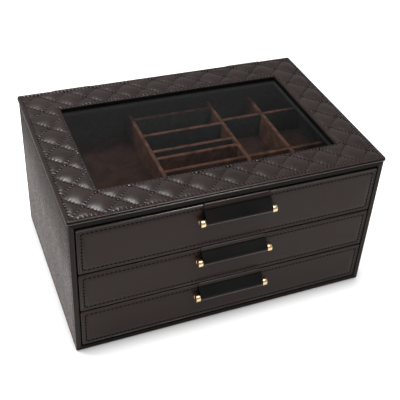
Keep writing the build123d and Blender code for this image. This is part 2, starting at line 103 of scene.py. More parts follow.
def settle(piece: Mesh, name: str) -> Mesh:
    """Names a piece and moves its place into its mesh.

    Args:
        piece: The object, wherever it stands.
        name: The name that it gets.

    Returns:
        The same object, at the origin, unturned and unscaled.
    """
    take_up(piece)
    bpy.ops.object.transform_apply(location=True, rotation=True, scale=True)
    piece.name = name
    piece.data.name = name
    return piece


def rough_block(name: str, low: Sequence[float], high: Sequence[float]) -> Mesh:
    """Starts a piece as a block between two corners.

    Args:
        name: The piece's name.
        low: The lowest corner, in metres.
        high: The highest corner, in metres.

    Returns:
        The block, ready to be shaped.
    """
    free_hands()
    middle = [(a + b) / 2 for a, b in zip(low, high)]
    size = [b - a for a, b in zip(low, high)]
    bpy.ops.mesh.primitive_cube_add(size=1, location=middle, scale=size)
    return settle(bpy.context.object, name)


def rough_grid(name: str, columns: int, rows: int) -> Tuple[Mesh, np.ndarray, np.ndarray]:
    """Starts a piece as a flat grid of points.

    Args:
        name: The piece's name.
        columns: The number of points along X.
        rows: The number of points along Y.

    Returns:
        The grid, and the column and the row of each of its points.
    """
    free_hands()
    bpy.ops.mesh.primitive_grid_add(x_subdivisions=columns - 1, y_subdivisions=rows - 1, size=2)
    grid = settle(bpy.context.object, name)
    points = points_of(grid)
    column = np.rint((points[:, 0] + 1) / 2 * (columns - 1)).astype(int)
    row = np.rint((points[:, 1] + 1) / 2 * (rows - 1)).astype(int)
    return grid, column, row


def face_data(piece: Mesh) -> Tuple[np.ndarray, np.ndarray]:
    """Reads the middles and the normals of all faces.

    Args:
        piece: A mesh in object mode.

    Returns:
        Two arrays with a row for each face.
    """
    count = len(piece.data.polygons)
    middles = np.empty(count * 3)
    normals = np.empty(count * 3)
    piece.data.polygons.foreach_get("center", middles)
    piece.data.polygons.foreach_get("normal", normals)
    return middles.reshape(-1, 3), normals.reshape(-1, 3)


def points_of(piece: Mesh) -> np.ndarray:
    """Reads all points of a mesh as rows of an array."""
    flat = np.empty(len(piece.data.vertices) * 3)
    piece.data.vertices.foreach_get("co", flat)
    return flat.reshape(-1, 3)


def move_points(piece: Mesh, points: np.ndarray) -> None:
    """Puts the points of a mesh in new places."""
    piece.data.vertices.foreach_set("co", points.ravel())
    piece.data.update()


def pick_faces(piece: Mesh, test: FaceTest) -> None:
    """Enters edit mode with the faces selected that pass a test.

    Args:
        piece: The mesh.
        test: Takes the middles and the normals, and gives a mask.
    """
    take_up(piece)
    mesh = piece.data
    mask = np.asarray(test(*face_data(piece)), bool)
    mesh.vertices.foreach_set("select", np.zeros(len(mesh.vertices), bool))
    mesh.edges.foreach_set("select", np.zeros(len(mesh.edges), bool))
    mesh.polygons.foreach_set("select", mask)
    bpy.ops.object.mode_set(mode="EDIT")
    bpy.ops.mesh.select_mode(type="FACE")


def pick_rims(piece: Mesh) -> None:
    """Enters edit mode with the open rims of a piece selected."""
    open_up(piece)
    bpy.ops.mesh.select_mode(type="EDGE")
    bpy.ops.mesh.select_all(action="DESELECT")
    bpy.ops.mesh.select_non_manifold()


def slice_across(piece: Mesh, places: Sequence[float]) -> None:
    """Cuts the faces of a piece into rings.

    Args:
        piece: The mesh.
        places: Where it is cut along X.
    """
    for at in places:
        open_up(piece)
        bpy.ops.mesh.bisect(plane_co=(at, 0, 0), plane_no=(1, 0, 0))
        put_down()


def finish_with(piece: Mesh, kind: str, **settings: object) -> None:
    """Finishes a piece with a modifier.

    Args:
        piece: The mesh.
        kind: The modifier's type.
        **settings: The modifier's settings.
    """
    take_up(piece)
    modifier = piece.modifiers.new("finish", kind)
    for key, value in settings.items():
        setattr(modifier, key, value)
    bpy.ops.object.modifier_apply(modifier=modifier.name)


def bevel_edges(piece: Mesh, width: float, steps: int = 1, angle: float = 40.0) -> None:
    """Rounds all edges of a piece that are sharper than an angle.

    Args:
        piece: The mesh.
        width: The width of the rounding, in metres.
        steps: The faces across the rounding.
        angle: The sharpest edge that is left alone, in degrees.
    """
    limit = math.radians(angle)
    finish_with(piece, "BEVEL", width=width, segments=steps, limit_method="ANGLE", angle_limit=limit)


def smooth(piece: Mesh, angle: float = 35.0) -> Mesh:
    """Shades a piece smooth, apart from its sharp edges.

    Args:
        piece: The mesh.
        angle: The sharpest edge that stays smooth, in degrees.

    Returns:
        The same object.
    """
    take_up(piece)
    bpy.ops.object.shade_smooth_by_angle(angle=math.radians(angle))
    return piece


def cut_away(piece: Mesh, low: Sequence[float], high: Sequence[float]) -> None:
    """Cuts a block out of a piece.

    Args:
        piece: The mesh.
        low: The block's lowest corner.
        high: The block's highest corner.
    """
    cutter = rough_block("cutter", low, high)
    finish_with(piece, "BOOLEAN", operation="DIFFERENCE", object=cutter)
    bpy.data.objects.remove(cutter, do_unlink=True)


def merged_copy(node: str, name: str, flat: float = 0.5) -> Mesh:
    """Copies a CAD node with joined faces, flat sides and smooth roundings.

    Args:
        node: The CAD node.
        name: The new piece's name.
        flat: The angle up to which faces count as one plane, in degrees.

    Returns:
        The copy, which doesn't ride on a body yet.
    """
    copy = bpy.data.objects.new(name, FRAME["nodes"][node].data.copy())
    bpy.context.scene.collection.objects.link(copy)
    copy.data.materials.clear()
    open_up(copy)
    bpy.ops.mesh.remove_doubles(threshold=WELD)
    bpy.ops.mesh.dissolve_limited(angle_limit=math.radians(flat))
    put_down()
    smooth(copy)
    finish_with(copy, "WEIGHTED_NORMAL", keep_sharp=True)
    return copy


def hand_over(piece: Mesh, body: str, finish: Material, slot: str, *nodes: str) -> Mesh:
    """Gives a finished piece its material, its body and the nodes that it stands for.

    Args:
        piece: The finished mesh.
        body: The CAD body that it rides on.
        finish: Its material.
        slot: The record's material slot; not used.
        *nodes: The CAD nodes that it replaces.

    Returns:
        The same object.
    """
    piece.data.materials.clear()
    piece.data.materials.append(finish)
    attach(piece, body)
    if nodes:
        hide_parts(*nodes)
    log.info("%s: %d faces, on %s", piece.name, len(piece.data.polygons), body)
    return piece


def cover_node(node: str, ending: str, body: str, finish: Material, slot: str) -> Mesh:
    """Puts a merged copy in the place of a CAD node.

    Args:
        node: The CAD node.
        ending: What the copy's name has after the node's.
        body: The CAD body that it rides on.
        finish: Its material.
        slot: The record's material slot.

    Returns:
        The copy.
    """
    return hand_over(merged_copy(node, node + ending), body, finish, slot, node)


def paint(piece: Mesh, finish: Material, test: FaceTest) -> None:
    """Gives the faces that pass a test another material.

    Args:
        piece: The mesh, which has its main material already.
        finish: The other material.
        test: Takes the middles and the normals, and gives a mask.
    """
    piece.data.materials.append(finish)
    mask = np.asarray(test(*face_data(piece)), bool)
    index = np.zeros(len(mask), int)
    piece.data.polygons.foreach_get("material_index", index)
    index[mask] = len(piece.data.materials) - 1
    piece.data.polygons.foreach_set("material_index", index)
    piece.data.update()


# Shader nodes


def fill(tree: Tree, node: Node, **inputs: object) -> Node:
    """Fills a shader node's input sockets.

    Args:
        tree: The node tree.
        node: The node.
        **inputs: Sockets to link or values to set, by socket name with underscores for spaces,
            or node settings.

    Returns:
        The same node.
    """
    for key, value in inputs.items():
        name = key.replace("_", " ")
        if name not in node.inputs:
            setattr(node, key, value)
        elif isinstance(value, Socket):
            tree.links.new(value, node.inputs[name])
        else:
            node.inputs[name].default_value = value
    return node


def add_node(tree: Tree, kind: str, **inputs: object) -> Node:
    """Adds a shader node.

    Args:
        tree: The node tree.
        kind: The node's type.
        **inputs: What fill takes.

    Returns:
        The node.
    """
    return fill(tree, tree.nodes.new(kind), **inputs)


def noise(tree: Tree, place: Socket, **inputs: object) -> Socket:
    """Adds a noise texture.

    Args:
        tree: The node tree.
        place: The coordinates that it reads.
        **inputs: Its other inputs.

    Returns:
        The socket of its strength.
    """
    return add_node(tree, "ShaderNodeTexNoise", Vector=place, **inputs).outputs["Fac"]


def arithmetic(tree: Tree, operation: str, *values: object) -> Socket:
    """Adds a Math node.

    Args:
        tree: The node tree.
        operation: The operation's name.
        *values: Sockets or numbers.

    Returns:
        The result's socket.
    """
    node = add_node(tree, "ShaderNodeMath", operation=operation)
    for i, value in enumerate(values):
        if isinstance(value, Socket):
            tree.links.new(value, node.inputs[i])
        else:
            node.inputs[i].default_value = value
    return node.outputs[0]


def spread(
    tree: Tree, value: Socket, low: float, high: float, out_low: float = 0.0, out_high: float = 1.0
) -> Socket:
    """Maps a value from one range to another, clamped.

    Args:
        tree: The node tree.
        value: The socket.
        low: The value that becomes out_low.
        high: The value that becomes out_high.
        out_low: The first result.
        out_high: The last result.

    Returns:
        The result's socket.
    """
    ranges = {"From_Min": low, "From_Max": high, "To_Min": out_low, "To_Max": out_high}
    return add_node(tree, "ShaderNodeMapRange", Value=value, **ranges).outputs["Result"]


def blend_colours(tree: Tree, mask: Socket, first: Colour, second: Colour) -> Socket:
    """Mixes two colours by a mask.

    Args:
        tree: The node tree.
        mask: 0 for the first colour, 1 for the second.
        first: A linear colour.
        second: A linear colour.

    Returns:
        The colour's socket.
    """
    node = add_node(tree, "ShaderNodeMix", data_type="RGBA", Factor=mask)
    node.inputs[6].default_value = (*first, 1.0)
    node.inputs[7].default_value = (*second, 1.0)
    return node.outputs[2]


def scale_colour(tree: Tree, colour: Socket, factor: Socket) -> Socket:
    """Darkens or lightens a colour.

    Args:
        tree: The node tree.
        colour: The colour's socket.
        factor: The number that it is multiplied by.

    Returns:
        The colour's socket.
    """
    node = add_node(tree, "ShaderNodeVectorMath", operation="SCALE", Scale=factor)
    tree.links.new(colour, node.inputs[0])
    return node.outputs[0]


def shade_and_dull(
    tree: Tree, colour: Socket, rough: Socket, mask: Socket, darker: float, duller: float
) -> Tuple[Socket, Socket]:
    """Darkens and dulls a finish where a mask is high, as painted shade; where the mask is below 0 it
    lightens, as painted highlight.

    Args:
        tree: The node tree.
        colour: The colour's socket.
        rough: The roughness's socket.
        mask: Where the painted shade falls; below 0, where the painted highlight falls.
        darker: The share of the colour that is lost where the mask is 1.
        duller: The roughness that is added where the mask is 1.

    Returns:
        The sockets of the new colour and the new roughness.
    """
    kept = arithmetic(tree, "SUBTRACT", 1.0, arithmetic(tree, "MULTIPLY", mask, darker))
    dull = arithmetic(tree, "ADD", rough, arithmetic(tree, "MULTIPLY", mask, duller))
    return scale_colour(tree, colour, kept), dull


def emboss(tree: Tree, shader: Node, height: Socket, depth: float) -> Node:
    """Drives a shader's normal by a height.

    Args:
        tree: The material's tree.
        shader: The Principled shader, or a Bump node that comes after.
        height: The height's socket, from 0 to 1.
        depth: The depth of the relief, in metres.

    Returns:
        The Bump node.
    """
    bump = add_node(tree, "ShaderNodeBump", Distance=depth, Height=height)
    fill(tree, shader, Normal=bump.outputs["Normal"])
    return bump


def new_group(name: str, inputs: Dict[str, float], outputs: Sequence[str]) -> Tree:
    """Starts a shader node group.

    Args:
        name: The group's name.
        inputs: Number inputs and their defaults, after a first input called Place.
        outputs: Number outputs.

    Returns:
        The group's tree, with its input and output nodes named in and out.
    """
    tree = bpy.data.node_groups.new(name, "ShaderNodeTree")
    tree.interface.new_socket("Place", in_out="INPUT", socket_type="NodeSocketVector")
    for key, value in inputs.items():
        socket = tree.interface.new_socket(key, in_out="INPUT", socket_type="NodeSocketFloat")
        socket.default_value = value
    for key in outputs:
        tree.interface.new_socket(key, in_out="OUTPUT", socket_type="NodeSocketFloat")
    tree.nodes.new("NodeGroupInput").name = "in"
    tree.nodes.new("NodeGroupOutput").name = "out"
    return tree


def use_group(tree: Tree, group: Tree, place: Socket, **values: float) -> Node:
    """Places a node group in a material.

    Args:
        tree: The material's tree.
        group: The group.
        place: The coordinates that it reads.
        **values: Its number inputs.

    Returns:
        The group's node.
    """
    node = tree.nodes.new("ShaderNodeGroup")
    node.node_tree = group
    return fill(tree, node, Place=place, **values)


class Effects:
    """The node groups that several finishes share, each built once."""

    def __init__(self) -> None:
        """Builds the groups."""
        self.grain = self.build_grain()
        self.nap = self.build_nap()
        self.streaks = self.build_streaks()

    def build_grain(self) -> Tree:
        """Builds leather grain: fine pebbles, creases between them and a slow change of tone."""
        names = ["Height", "Tone", "Speckle", "Waves"]
        tree = new_group("leather_grain", {"Pebbles": 1200.0, "Creases": 260.0}, names)
        given = tree.nodes["in"].outputs
        place = given["Place"]
        warp = add_node(tree, "ShaderNodeTexNoise", Vector=place, Scale=420.0, Detail=1.0)
        bend = add_node(tree, "ShaderNodeVectorMath", operation="MULTIPLY_ADD")
        tree.links.new(warp.outputs["Color"], bend.inputs[0])
        bend.inputs[1].default_value = (0.7 * MM, 0.7 * MM, 0.7 * MM)
        tree.links.new(place, bend.inputs[2])
        bent = bend.outputs[0]
        pebbles = add_node(
            tree, "ShaderNodeTexVoronoi", feature="SMOOTH_F1", Smoothness=0.35,
            Vector=bent, Scale=given["Pebbles"],
        )
        creases = noise(tree, bent, Scale=given["Creases"], Detail=4.0, Roughness=0.6)
        domes = arithmetic(tree, "SUBTRACT", 1.0, pebbles.outputs["Distance"])
        fill(
            tree, tree.nodes["out"],
            Height=arithmetic(tree, "MULTIPLY_ADD", domes, 0.6, creases),
            Tone=noise(tree, place, Scale=34.0, Detail=3.0, Roughness=0.55),
            Speckle=noise(tree, place, Scale=620.0, Detail=2.0, Roughness=0.6),
            Waves=noise(tree, place, Scale=16.0, Detail=1.0),
        )
        return tree

    def build_nap(self) -> Tree:
        """Builds suede nap: short fibres and the patches that a finger leaves in them."""
        tree = new_group("suede_nap", {"Fibres": 2600.0, "Patches": 130.0}, ["Height", "Tone"])
        given = tree.nodes["in"].outputs
        place = given["Place"]
        fill(
            tree, tree.nodes["out"],
            Height=noise(tree, place, Scale=given["Fibres"], Detail=3.0, Roughness=0.7),
            Tone=noise(tree, place, Scale=given["Patches"], Detail=4.0, Roughness=0.65, Distortion=0.6),
        )
        return tree

    def build_streaks(self) -> Tree:
        """Builds faint upright streaks, as on leather that has been wiped."""
        tree = new_group("wiped_streaks", {"Width": 38.0}, ["Mask"])
        given = tree.nodes["in"].outputs
        stretch = add_node(tree, "ShaderNodeMapping", Vector=given["Place"], Scale=(1.0, 1.0, 0.4))
        mask = noise(tree, stretch.outputs["Vector"], Scale=given["Width"], Detail=5.0, Roughness=0.6)
        fill(tree, tree.nodes["out"], Mask=mask)
        return tree


# Finishes


def new_finish(name: str) -> Tuple[Material, Tree, Node, Socket]:
    """Starts a material.

    Args:
        name: The material's name.

    Returns:
        The material, its tree, its Principled shader and the socket of Object coordinates.
    """
    material = bpy.data.materials.new(name)
    material.use_nodes = True
    tree = material.node_tree
    place = tree.nodes.new("ShaderNodeTexCoord").outputs["Object"]
    return material, tree, tree.nodes["Principled BSDF"], place


@dataclass(frozen=True)
class Leather:
    """Finished leather: its colours, its gloss, its grain, the painted shade and highlight along its seams,
    and the painted shade that darkens it towards the top.
    """

    name: str
    dark: Colour
    light: Colour
    roughness: float = 0.42
    roughness_spread: float = 0.12
    gloss: float = 0.42
    pebbles: float = 1200.0
    grain_depth: float = 0.05 * MM
    streaked: bool = False
    crease: str = ""
    crease_shade: float = 0.8
    crease_dull: float = 0.4
    speckle: float = 0.12
    waviness: float = 0.0
    painted_shade_from: float = 0.0
    painted_shade_to: float = 0.0
    painted_shade_strength: float = 0.55
    top_dulling: float = 0.3
    noise_range: Flat = (0.3, 0.7)
    streak_range: Flat = (0.25, 0.75)

    def make(self, effects: Effects) -> Material:
        """Builds the material.

        Args:
            effects: The shared node groups.

        Returns:
            The material.
        """
        material, tree, shader, place = new_finish(self.name)
        grain = use_group(tree, effects.grain, place, Pebbles=self.pebbles).outputs
        tone = spread(tree, grain["Tone"], *self.noise_range)
        colour = blend_colours(tree, tone, self.dark, self.light)
        gloss_mask = tone
        if self.streaked:
            streaks = use_group(tree, effects.streaks, place)
            gloss_mask = spread(tree, streaks.outputs["Mask"], *self.streak_range)
        low = self.roughness - self.roughness_spread / 2
        rough = spread(tree, gloss_mask, 0.0, 1.0, low, low + self.roughness_spread)
        # Painted shade at the stitches and painted highlight on the bulges between them, read from the mesh's
        # attribute.
        if self.crease:
            mask = add_node(tree, "ShaderNodeAttribute", attribute_name=self.crease).outputs["Fac"]
            colour, rough = shade_and_dull(tree, colour, rough, mask, self.crease_shade, self.crease_dull)
        flecks = spread(tree, grain["Speckle"], *self.noise_range, 1 - self.speckle, 1 + self.speckle)
        colour = scale_colour(tree, colour, flecks)
        rough = arithmetic(tree, "MULTIPLY", rough, flecks)
        # Painted shade: darker and duller towards the top, by height.
        if self.painted_shade_to:
            height = add_node(tree, "ShaderNodeSeparateXYZ", Vector=place).outputs["Z"]
            painted_shade_mask = spread(tree, height, self.painted_shade_from, self.painted_shade_to)
            colour, rough = shade_and_dull(tree, colour, rough, painted_shade_mask, self.painted_shade_strength, self.top_dulling)
        fill(tree, shader, Base_Color=colour, Roughness=rough, Specular_IOR_Level=self.gloss)
        fine = emboss(tree, shader, grain["Height"], self.grain_depth)
        if self.waviness:
            emboss(tree, fine, grain["Waves"], self.waviness)
        return material


@dataclass(frozen=True)
class Suede:
    """Suede or felt: its colours and its nap."""

    name: str
    dark: Colour
    light: Colour
    fibres: float = 2600.0
    patches: float = 130.0
    nap_depth: float = 0.06 * MM
    roughness: float = 0.95
    gloss: float = 0.1
    sheen: float = 0.35
    sheen_roughness: float = 0.5
    tone_range: Flat = (0.36, 0.66)

    def make(self, effects: Effects) -> Material:
        """Builds the material.

        Args:
            effects: The shared node groups.

        Returns:
            The material.
        """
        material, tree, shader, place = new_finish(self.name)
        nap = use_group(tree, effects.nap, place, Fibres=self.fibres, Patches=self.patches).outputs
        tone = spread(tree, nap["Tone"], *self.tone_range)
        fill(
            tree, shader, Base_Color=blend_colours(tree, tone, self.dark, self.light),
            Roughness=self.roughness, Specular_IOR_Level=self.gloss, Sheen_Weight=self.sheen,
            Sheen_Roughness=self.sheen_roughness, Sheen_Tint=(*self.light, 1.0),
        )
        emboss(tree, shader, nap["Height"], self.nap_depth)
        return material


@dataclass(frozen=True)
class Brass:
    """Polished or satin brass with fine turning marks and a little tarnish."""

    name: str
    bright: Colour
    tarnished: Colour
    roughness: float = 0.2
    relief: float = 0.003 * MM
    tone_range: Flat = (0.35, 0.7)
    dulling: Flat = (0.8, 1.5)

    def make(self, effects: Effects) -> Material:
        """Builds the material.

        Args:
            effects: The shared node groups.

        Returns:
            The material.
        """
        material, tree, shader, place = new_finish(self.name)
        nap = use_group(tree, effects.nap, place, Fibres=900.0, Patches=220.0).outputs
        tone = spread(tree, nap["Tone"], *self.tone_range)
        colour = blend_colours(tree, tone, self.bright, self.tarnished)
        low, high = (self.roughness * share for share in self.dulling)
        rough = spread(tree, tone, 0.0, 1.0, low, high)
        fill(tree, shader, Base_Color=colour, Roughness=rough, Metallic=1.0)
        emboss(tree, shader, nap["Height"], self.relief)
        return material


@dataclass(frozen=True)
class Pane:
    """Clear float glass that lets light through, with a faint painted reflection in place of a real one: a
    glow that grows towards the back.
    """

    name: str
    tint: Colour = (0.91, 0.93, 0.93)
    clean: Colour = (0.96, 0.975, 0.975)
    bending: float = 1.008
    reach: float = 66.0 * MM
    smear_range: Flat = (0.3, 0.7)
    painted_reflection_front: Colour = (0.002, 0.00196, 0.002)
    painted_reflection_back: Colour = (0.009, 0.0088, 0.009)

    def make(self, effects: Effects) -> Material:
        """Builds the material.

        Args:
            effects: The shared node groups.

        Returns:
            The material.
        """
        material, tree, shader, place = new_finish(self.name)
        smear = use_group(tree, effects.nap, place, Fibres=40.0, Patches=26.0)
        tone = spread(tree, smear.outputs["Tone"], *self.smear_range)
        depth = add_node(tree, "ShaderNodeSeparateXYZ", Vector=place).outputs["Y"]
        far = spread(tree, depth, -self.reach, self.reach)
        # Painted reflection: the pane glows faintly, more towards the back, in place of reflecting the room.
        fill(
            tree, shader, Base_Color=blend_colours(tree, tone, self.tint, self.clean), Roughness=0.0,
            Transmission_Weight=1.0, IOR=self.bending, Emission_Strength=1.0,
            Emission_Color=blend_colours(tree, far, self.painted_reflection_front, self.painted_reflection_back),
        )
        clear = add_node(tree, "ShaderNodeBsdfTransparent", Color=(*self.tint, 1.0))
        path = tree.nodes.new("ShaderNodeLightPath").outputs
        mix = tree.nodes.new("ShaderNodeMixShader")
        passing = arithmetic(tree, "MAXIMUM", path["Is Shadow Ray"], path["Is Diffuse Ray"])
        tree.links.new(passing, mix.inputs[0])
        tree.links.new(shader.outputs[0], mix.inputs[1])
        tree.links.new(clear.outputs[0], mix.inputs[2])
        tree.links.new(mix.outputs[0], tree.nodes["Material Output"].inputs["Surface"])
        return material


class Wardrobe:
    """All finishes of the organizer, built once."""

    def __init__(self) -> None:
        """Builds the materials."""
        effects = Effects()
        brown = (0.018, 0.0085, 0.0058), (0.027, 0.014, 0.0098)
        # Painted light: the side and back panels carry a lighter copy of the fronts' leather colour, with
        # painted shade towards the top; their streaks only change the roughness.
        self.side = Leather(
            "wiped_leather", (0.034, 0.017, 0.0125), (0.066, 0.036, 0.028), roughness=0.5, gloss=0.36,
            pebbles=500.0, grain_depth=0.3 * MM, streaked=True, speckle=0.45, waviness=2.0 * MM,
            painted_shade_from=0.085, painted_shade_to=0.15,
        ).make(effects)
        self.front = Leather("front_leather", *brown, roughness=0.5, gloss=0.26).make(effects)
        self.edge = Leather(
            "edge_leather", (0.012, 0.0078, 0.0055), (0.019, 0.013, 0.01), roughness=0.5, gloss=0.2,
        ).make(effects)
        self.rolled = Leather(
            "rolled_leather", *brown,
            roughness=0.27, roughness_spread=0.06, grain_depth=0.01 * MM, speckle=0.1,
        ).make(effects)
        self.polished = Leather(
            "polished_leather", (0.016, 0.0078, 0.0055), (0.024, 0.0125, 0.009),
            roughness=0.22, roughness_spread=0.05, gloss=1.0, grain_depth=0.01 * MM, speckle=0.1,
        ).make(effects)
        # Painted shade: a near-black copy of the leather for the lid's rails and the cover's lower wall, the
        # rail under the lid, and the bottom panel.
        self.board = Leather(
            "board_edge", (0.006, 0.0044, 0.0037), (0.01, 0.0075, 0.0065), gloss=0.08, grain_depth=0.02 * MM,
        ).make(effects)
        self.eased = Leather("eased_leather", *brown, roughness=0.4, gloss=0.4).make(effects)
        # The quilt's leather reads the painted seam shade and highlight from the cover's attribute.
        self.quilt = Leather(
            "quilt_leather", (0.0115, 0.0052, 0.0038), (0.0215, 0.0112, 0.0087), roughness=0.38,
            roughness_spread=0.1, gloss=0.48, grain_depth=0.035 * MM, crease="crease", crease_shade=0.9,
        ).make(effects)
        self.strap = Leather(
            "strap_leather", (0.0035, 0.003, 0.003), (0.0075, 0.0065, 0.0062), roughness=0.4, gloss=0.16,
        ).make(effects)
        self.thread = Suede(
            "waxed_thread", (0.002, 0.0014, 0.0012), (0.004, 0.003, 0.0026), fibres=3800.0, sheen=0.0,
        ).make(effects)
        self.divider = Suede(
            "brown_suede", (0.03, 0.0125, 0.008), (0.1, 0.044, 0.028), patches=95.0, sheen=0.08,
        ).make(effects)
        self.pad = Suede(
            "floor_suede", (0.013, 0.0063, 0.0045), (0.03, 0.0146, 0.0104), patches=60.0, sheen=0.02,
        ).make(effects)
        self.lining = Suede(
            "charcoal_suede", (0.015, 0.0152, 0.0152), (0.026, 0.026, 0.026), sheen=0.02,
        ).make(effects)
        self.felt = Suede(
            "base_felt", (0.008, 0.0075, 0.007), (0.018, 0.017, 0.016), patches=300.0,
        ).make(effects)
        self.gold = Brass("pale_gold", (1.0, 0.76, 0.44), (0.92, 0.64, 0.33), roughness=0.14).make(effects)
        self.hinge = Brass(
            "satin_brass", (0.62, 0.47, 0.26), (0.53, 0.39, 0.2), roughness=0.3, relief=0.001 * MM,
        ).make(effects)
        self.screw = Brass(
            "screw_brass", (0.5, 0.37, 0.19), (0.4, 0.29, 0.14), roughness=0.35, relief=0.001 * MM,
        ).make(effects)
        self.glass = Pane("window_glass").make(effects)


# Stitches


@dataclass
class Stitch:
    """One visible thread of a lockstitch, from needle hole to needle hole."""

    length: float = 2.0 * MM
    width: float = 1.05 * MM
    sink: float = 0.35 * MM
    flatness: float = 0.7
    taper: float = 0.72
    thinning: int = 3
    thinnest: float = 0.05
    dive: float = 2.5
    sides: int = 6
    rings: int = 4

    def template(self) -> Tuple[np.ndarray, List[Tuple[int, ...]]]:
        """Models the thread once: a short cylinder whose ends taper and dive.

        Returns:
            Points along X with Z up, and the faces.
        """
        free_hands()
        bpy.ops.mesh.primitive_cylinder_add(
            vertices=self.sides, radius=self.width / 2, depth=self.length, rotation=(0, math.pi / 2, 0)
        )
        thread = settle(bpy.context.object, "stitch")
        slice_across(thread, [self.length * (i / self.rings - 0.5) for i in range(1, self.rings)])
        points = points_of(thread)
        along = np.abs(points[:, 0]) / (self.length / 2)
        thin = np.sqrt(np.clip(1 - self.taper * along**self.thinning, self.thinnest, 1))
        points[:, 1] *= thin
        points[:, 2] = points[:, 2] * thin * self.flatness - self.sink * along**self.dive
        faces = [tuple(p.vertices) for p in thread.data.polygons]
        bpy.data.objects.remove(thread, do_unlink=True)
        return points, faces


@dataclass
class Seam:
    """Many stitches as one piece."""

    name: str
    stitch: Stitch
    places: List[np.ndarray] = field(default_factory=list)

    def add(self, middle: Sequence[float], along: Sequence[float], up: Sequence[float]) -> None:
        """Adds one stitch.

        Args:
            middle: Its middle, on the surface.
            along: The direction of the seam.
            up: The direction away from the surface.
        """
        x = np.asarray(along, float)
        x = x / np.linalg.norm(x)
        z = np.asarray(up, float)
        z = z / np.linalg.norm(z)
        self.places.append(np.array([x, np.cross(z, x), z, np.asarray(middle, float)]))

    def add_run(
        self, start: Sequence[float], end: Sequence[float], up: Sequence[float], pitch: float
    ) -> None:
        """Adds evenly spaced stitches on a straight run.

        Args:
            start: The run's first point.
            end: The run's last point.
            up: The direction away from the surface.
            pitch: The wanted distance from stitch to stitch.
        """
        a = np.asarray(start, float)
        b = np.asarray(end, float)
        count = max(1, round(np.linalg.norm(b - a) / pitch))
        for i in range(count):
            self.add(a + (b - a) * (i + 0.5) / count, b - a, up)

    def make(self) -> Mesh:
        """Builds the piece.

        Returns:
            The mesh with all stitches.
        """
        points, faces = self.stitch.template()
        all_points = []
        all_faces = []
        for i, place in enumerate(self.places):
            all_points.append(points @ place[:3] + place[3])
            shift = i * len(points)
            all_faces += [tuple(v + shift for v in f) for f in faces]
        mesh = bpy.data.meshes.new(self.name)
        mesh.from_pydata(np.concatenate(all_points).tolist(), [], all_faces)
        piece = bpy.data.objects.new(self.name, mesh)
        bpy.context.scene.collection.objects.link(piece)
        open_up(piece)
        close_up()
        return smooth(piece, angle=60.0)


# Quilted lid


class Diagonal(Enum):
    """The two families of the quilt's diagonals, by the direction in which they run."""

    FALLING = (1, -1, 0)
    RISING = (1, 1, 0)


@dataclass(frozen=True)
class Survey:
    """Where points of the lid lie between its seams."""

    u: np.ndarray
    v: np.ndarray
    line_u: np.ndarray
    line_v: np.ndarray
    off_u: np.ndarray
    off_v: np.ndarray
    edge: np.ndarray
    inner: np.ndarray
    past_out: np.ndarray
    past_in: np.ndarray


@dataclass(frozen=True)
class Border:
    """The plain border of the quilt, from the leather's edge to a straight row."""

    row: float
    roll: float
    drop: float
    height: float
    dip: float

    def profile(self, away: np.ndarray, bulge: np.ndarray) -> np.ndarray:
        """Gives the border's height above the seams.

        Args:
            away: The distance from the leather's edge.
            bulge: The height of the gathers in the row.

        Returns:
            The heights.
        """
        fall = np.clip(1 - away / self.roll, 0, 1)
        rounded = self.height - self.drop * (1 - np.sqrt(np.clip(1 - fall**2, 0, 1)))
        return rounded - (self.height - bulge) * np.exp(-(((away - self.row) / self.dip) ** 2))


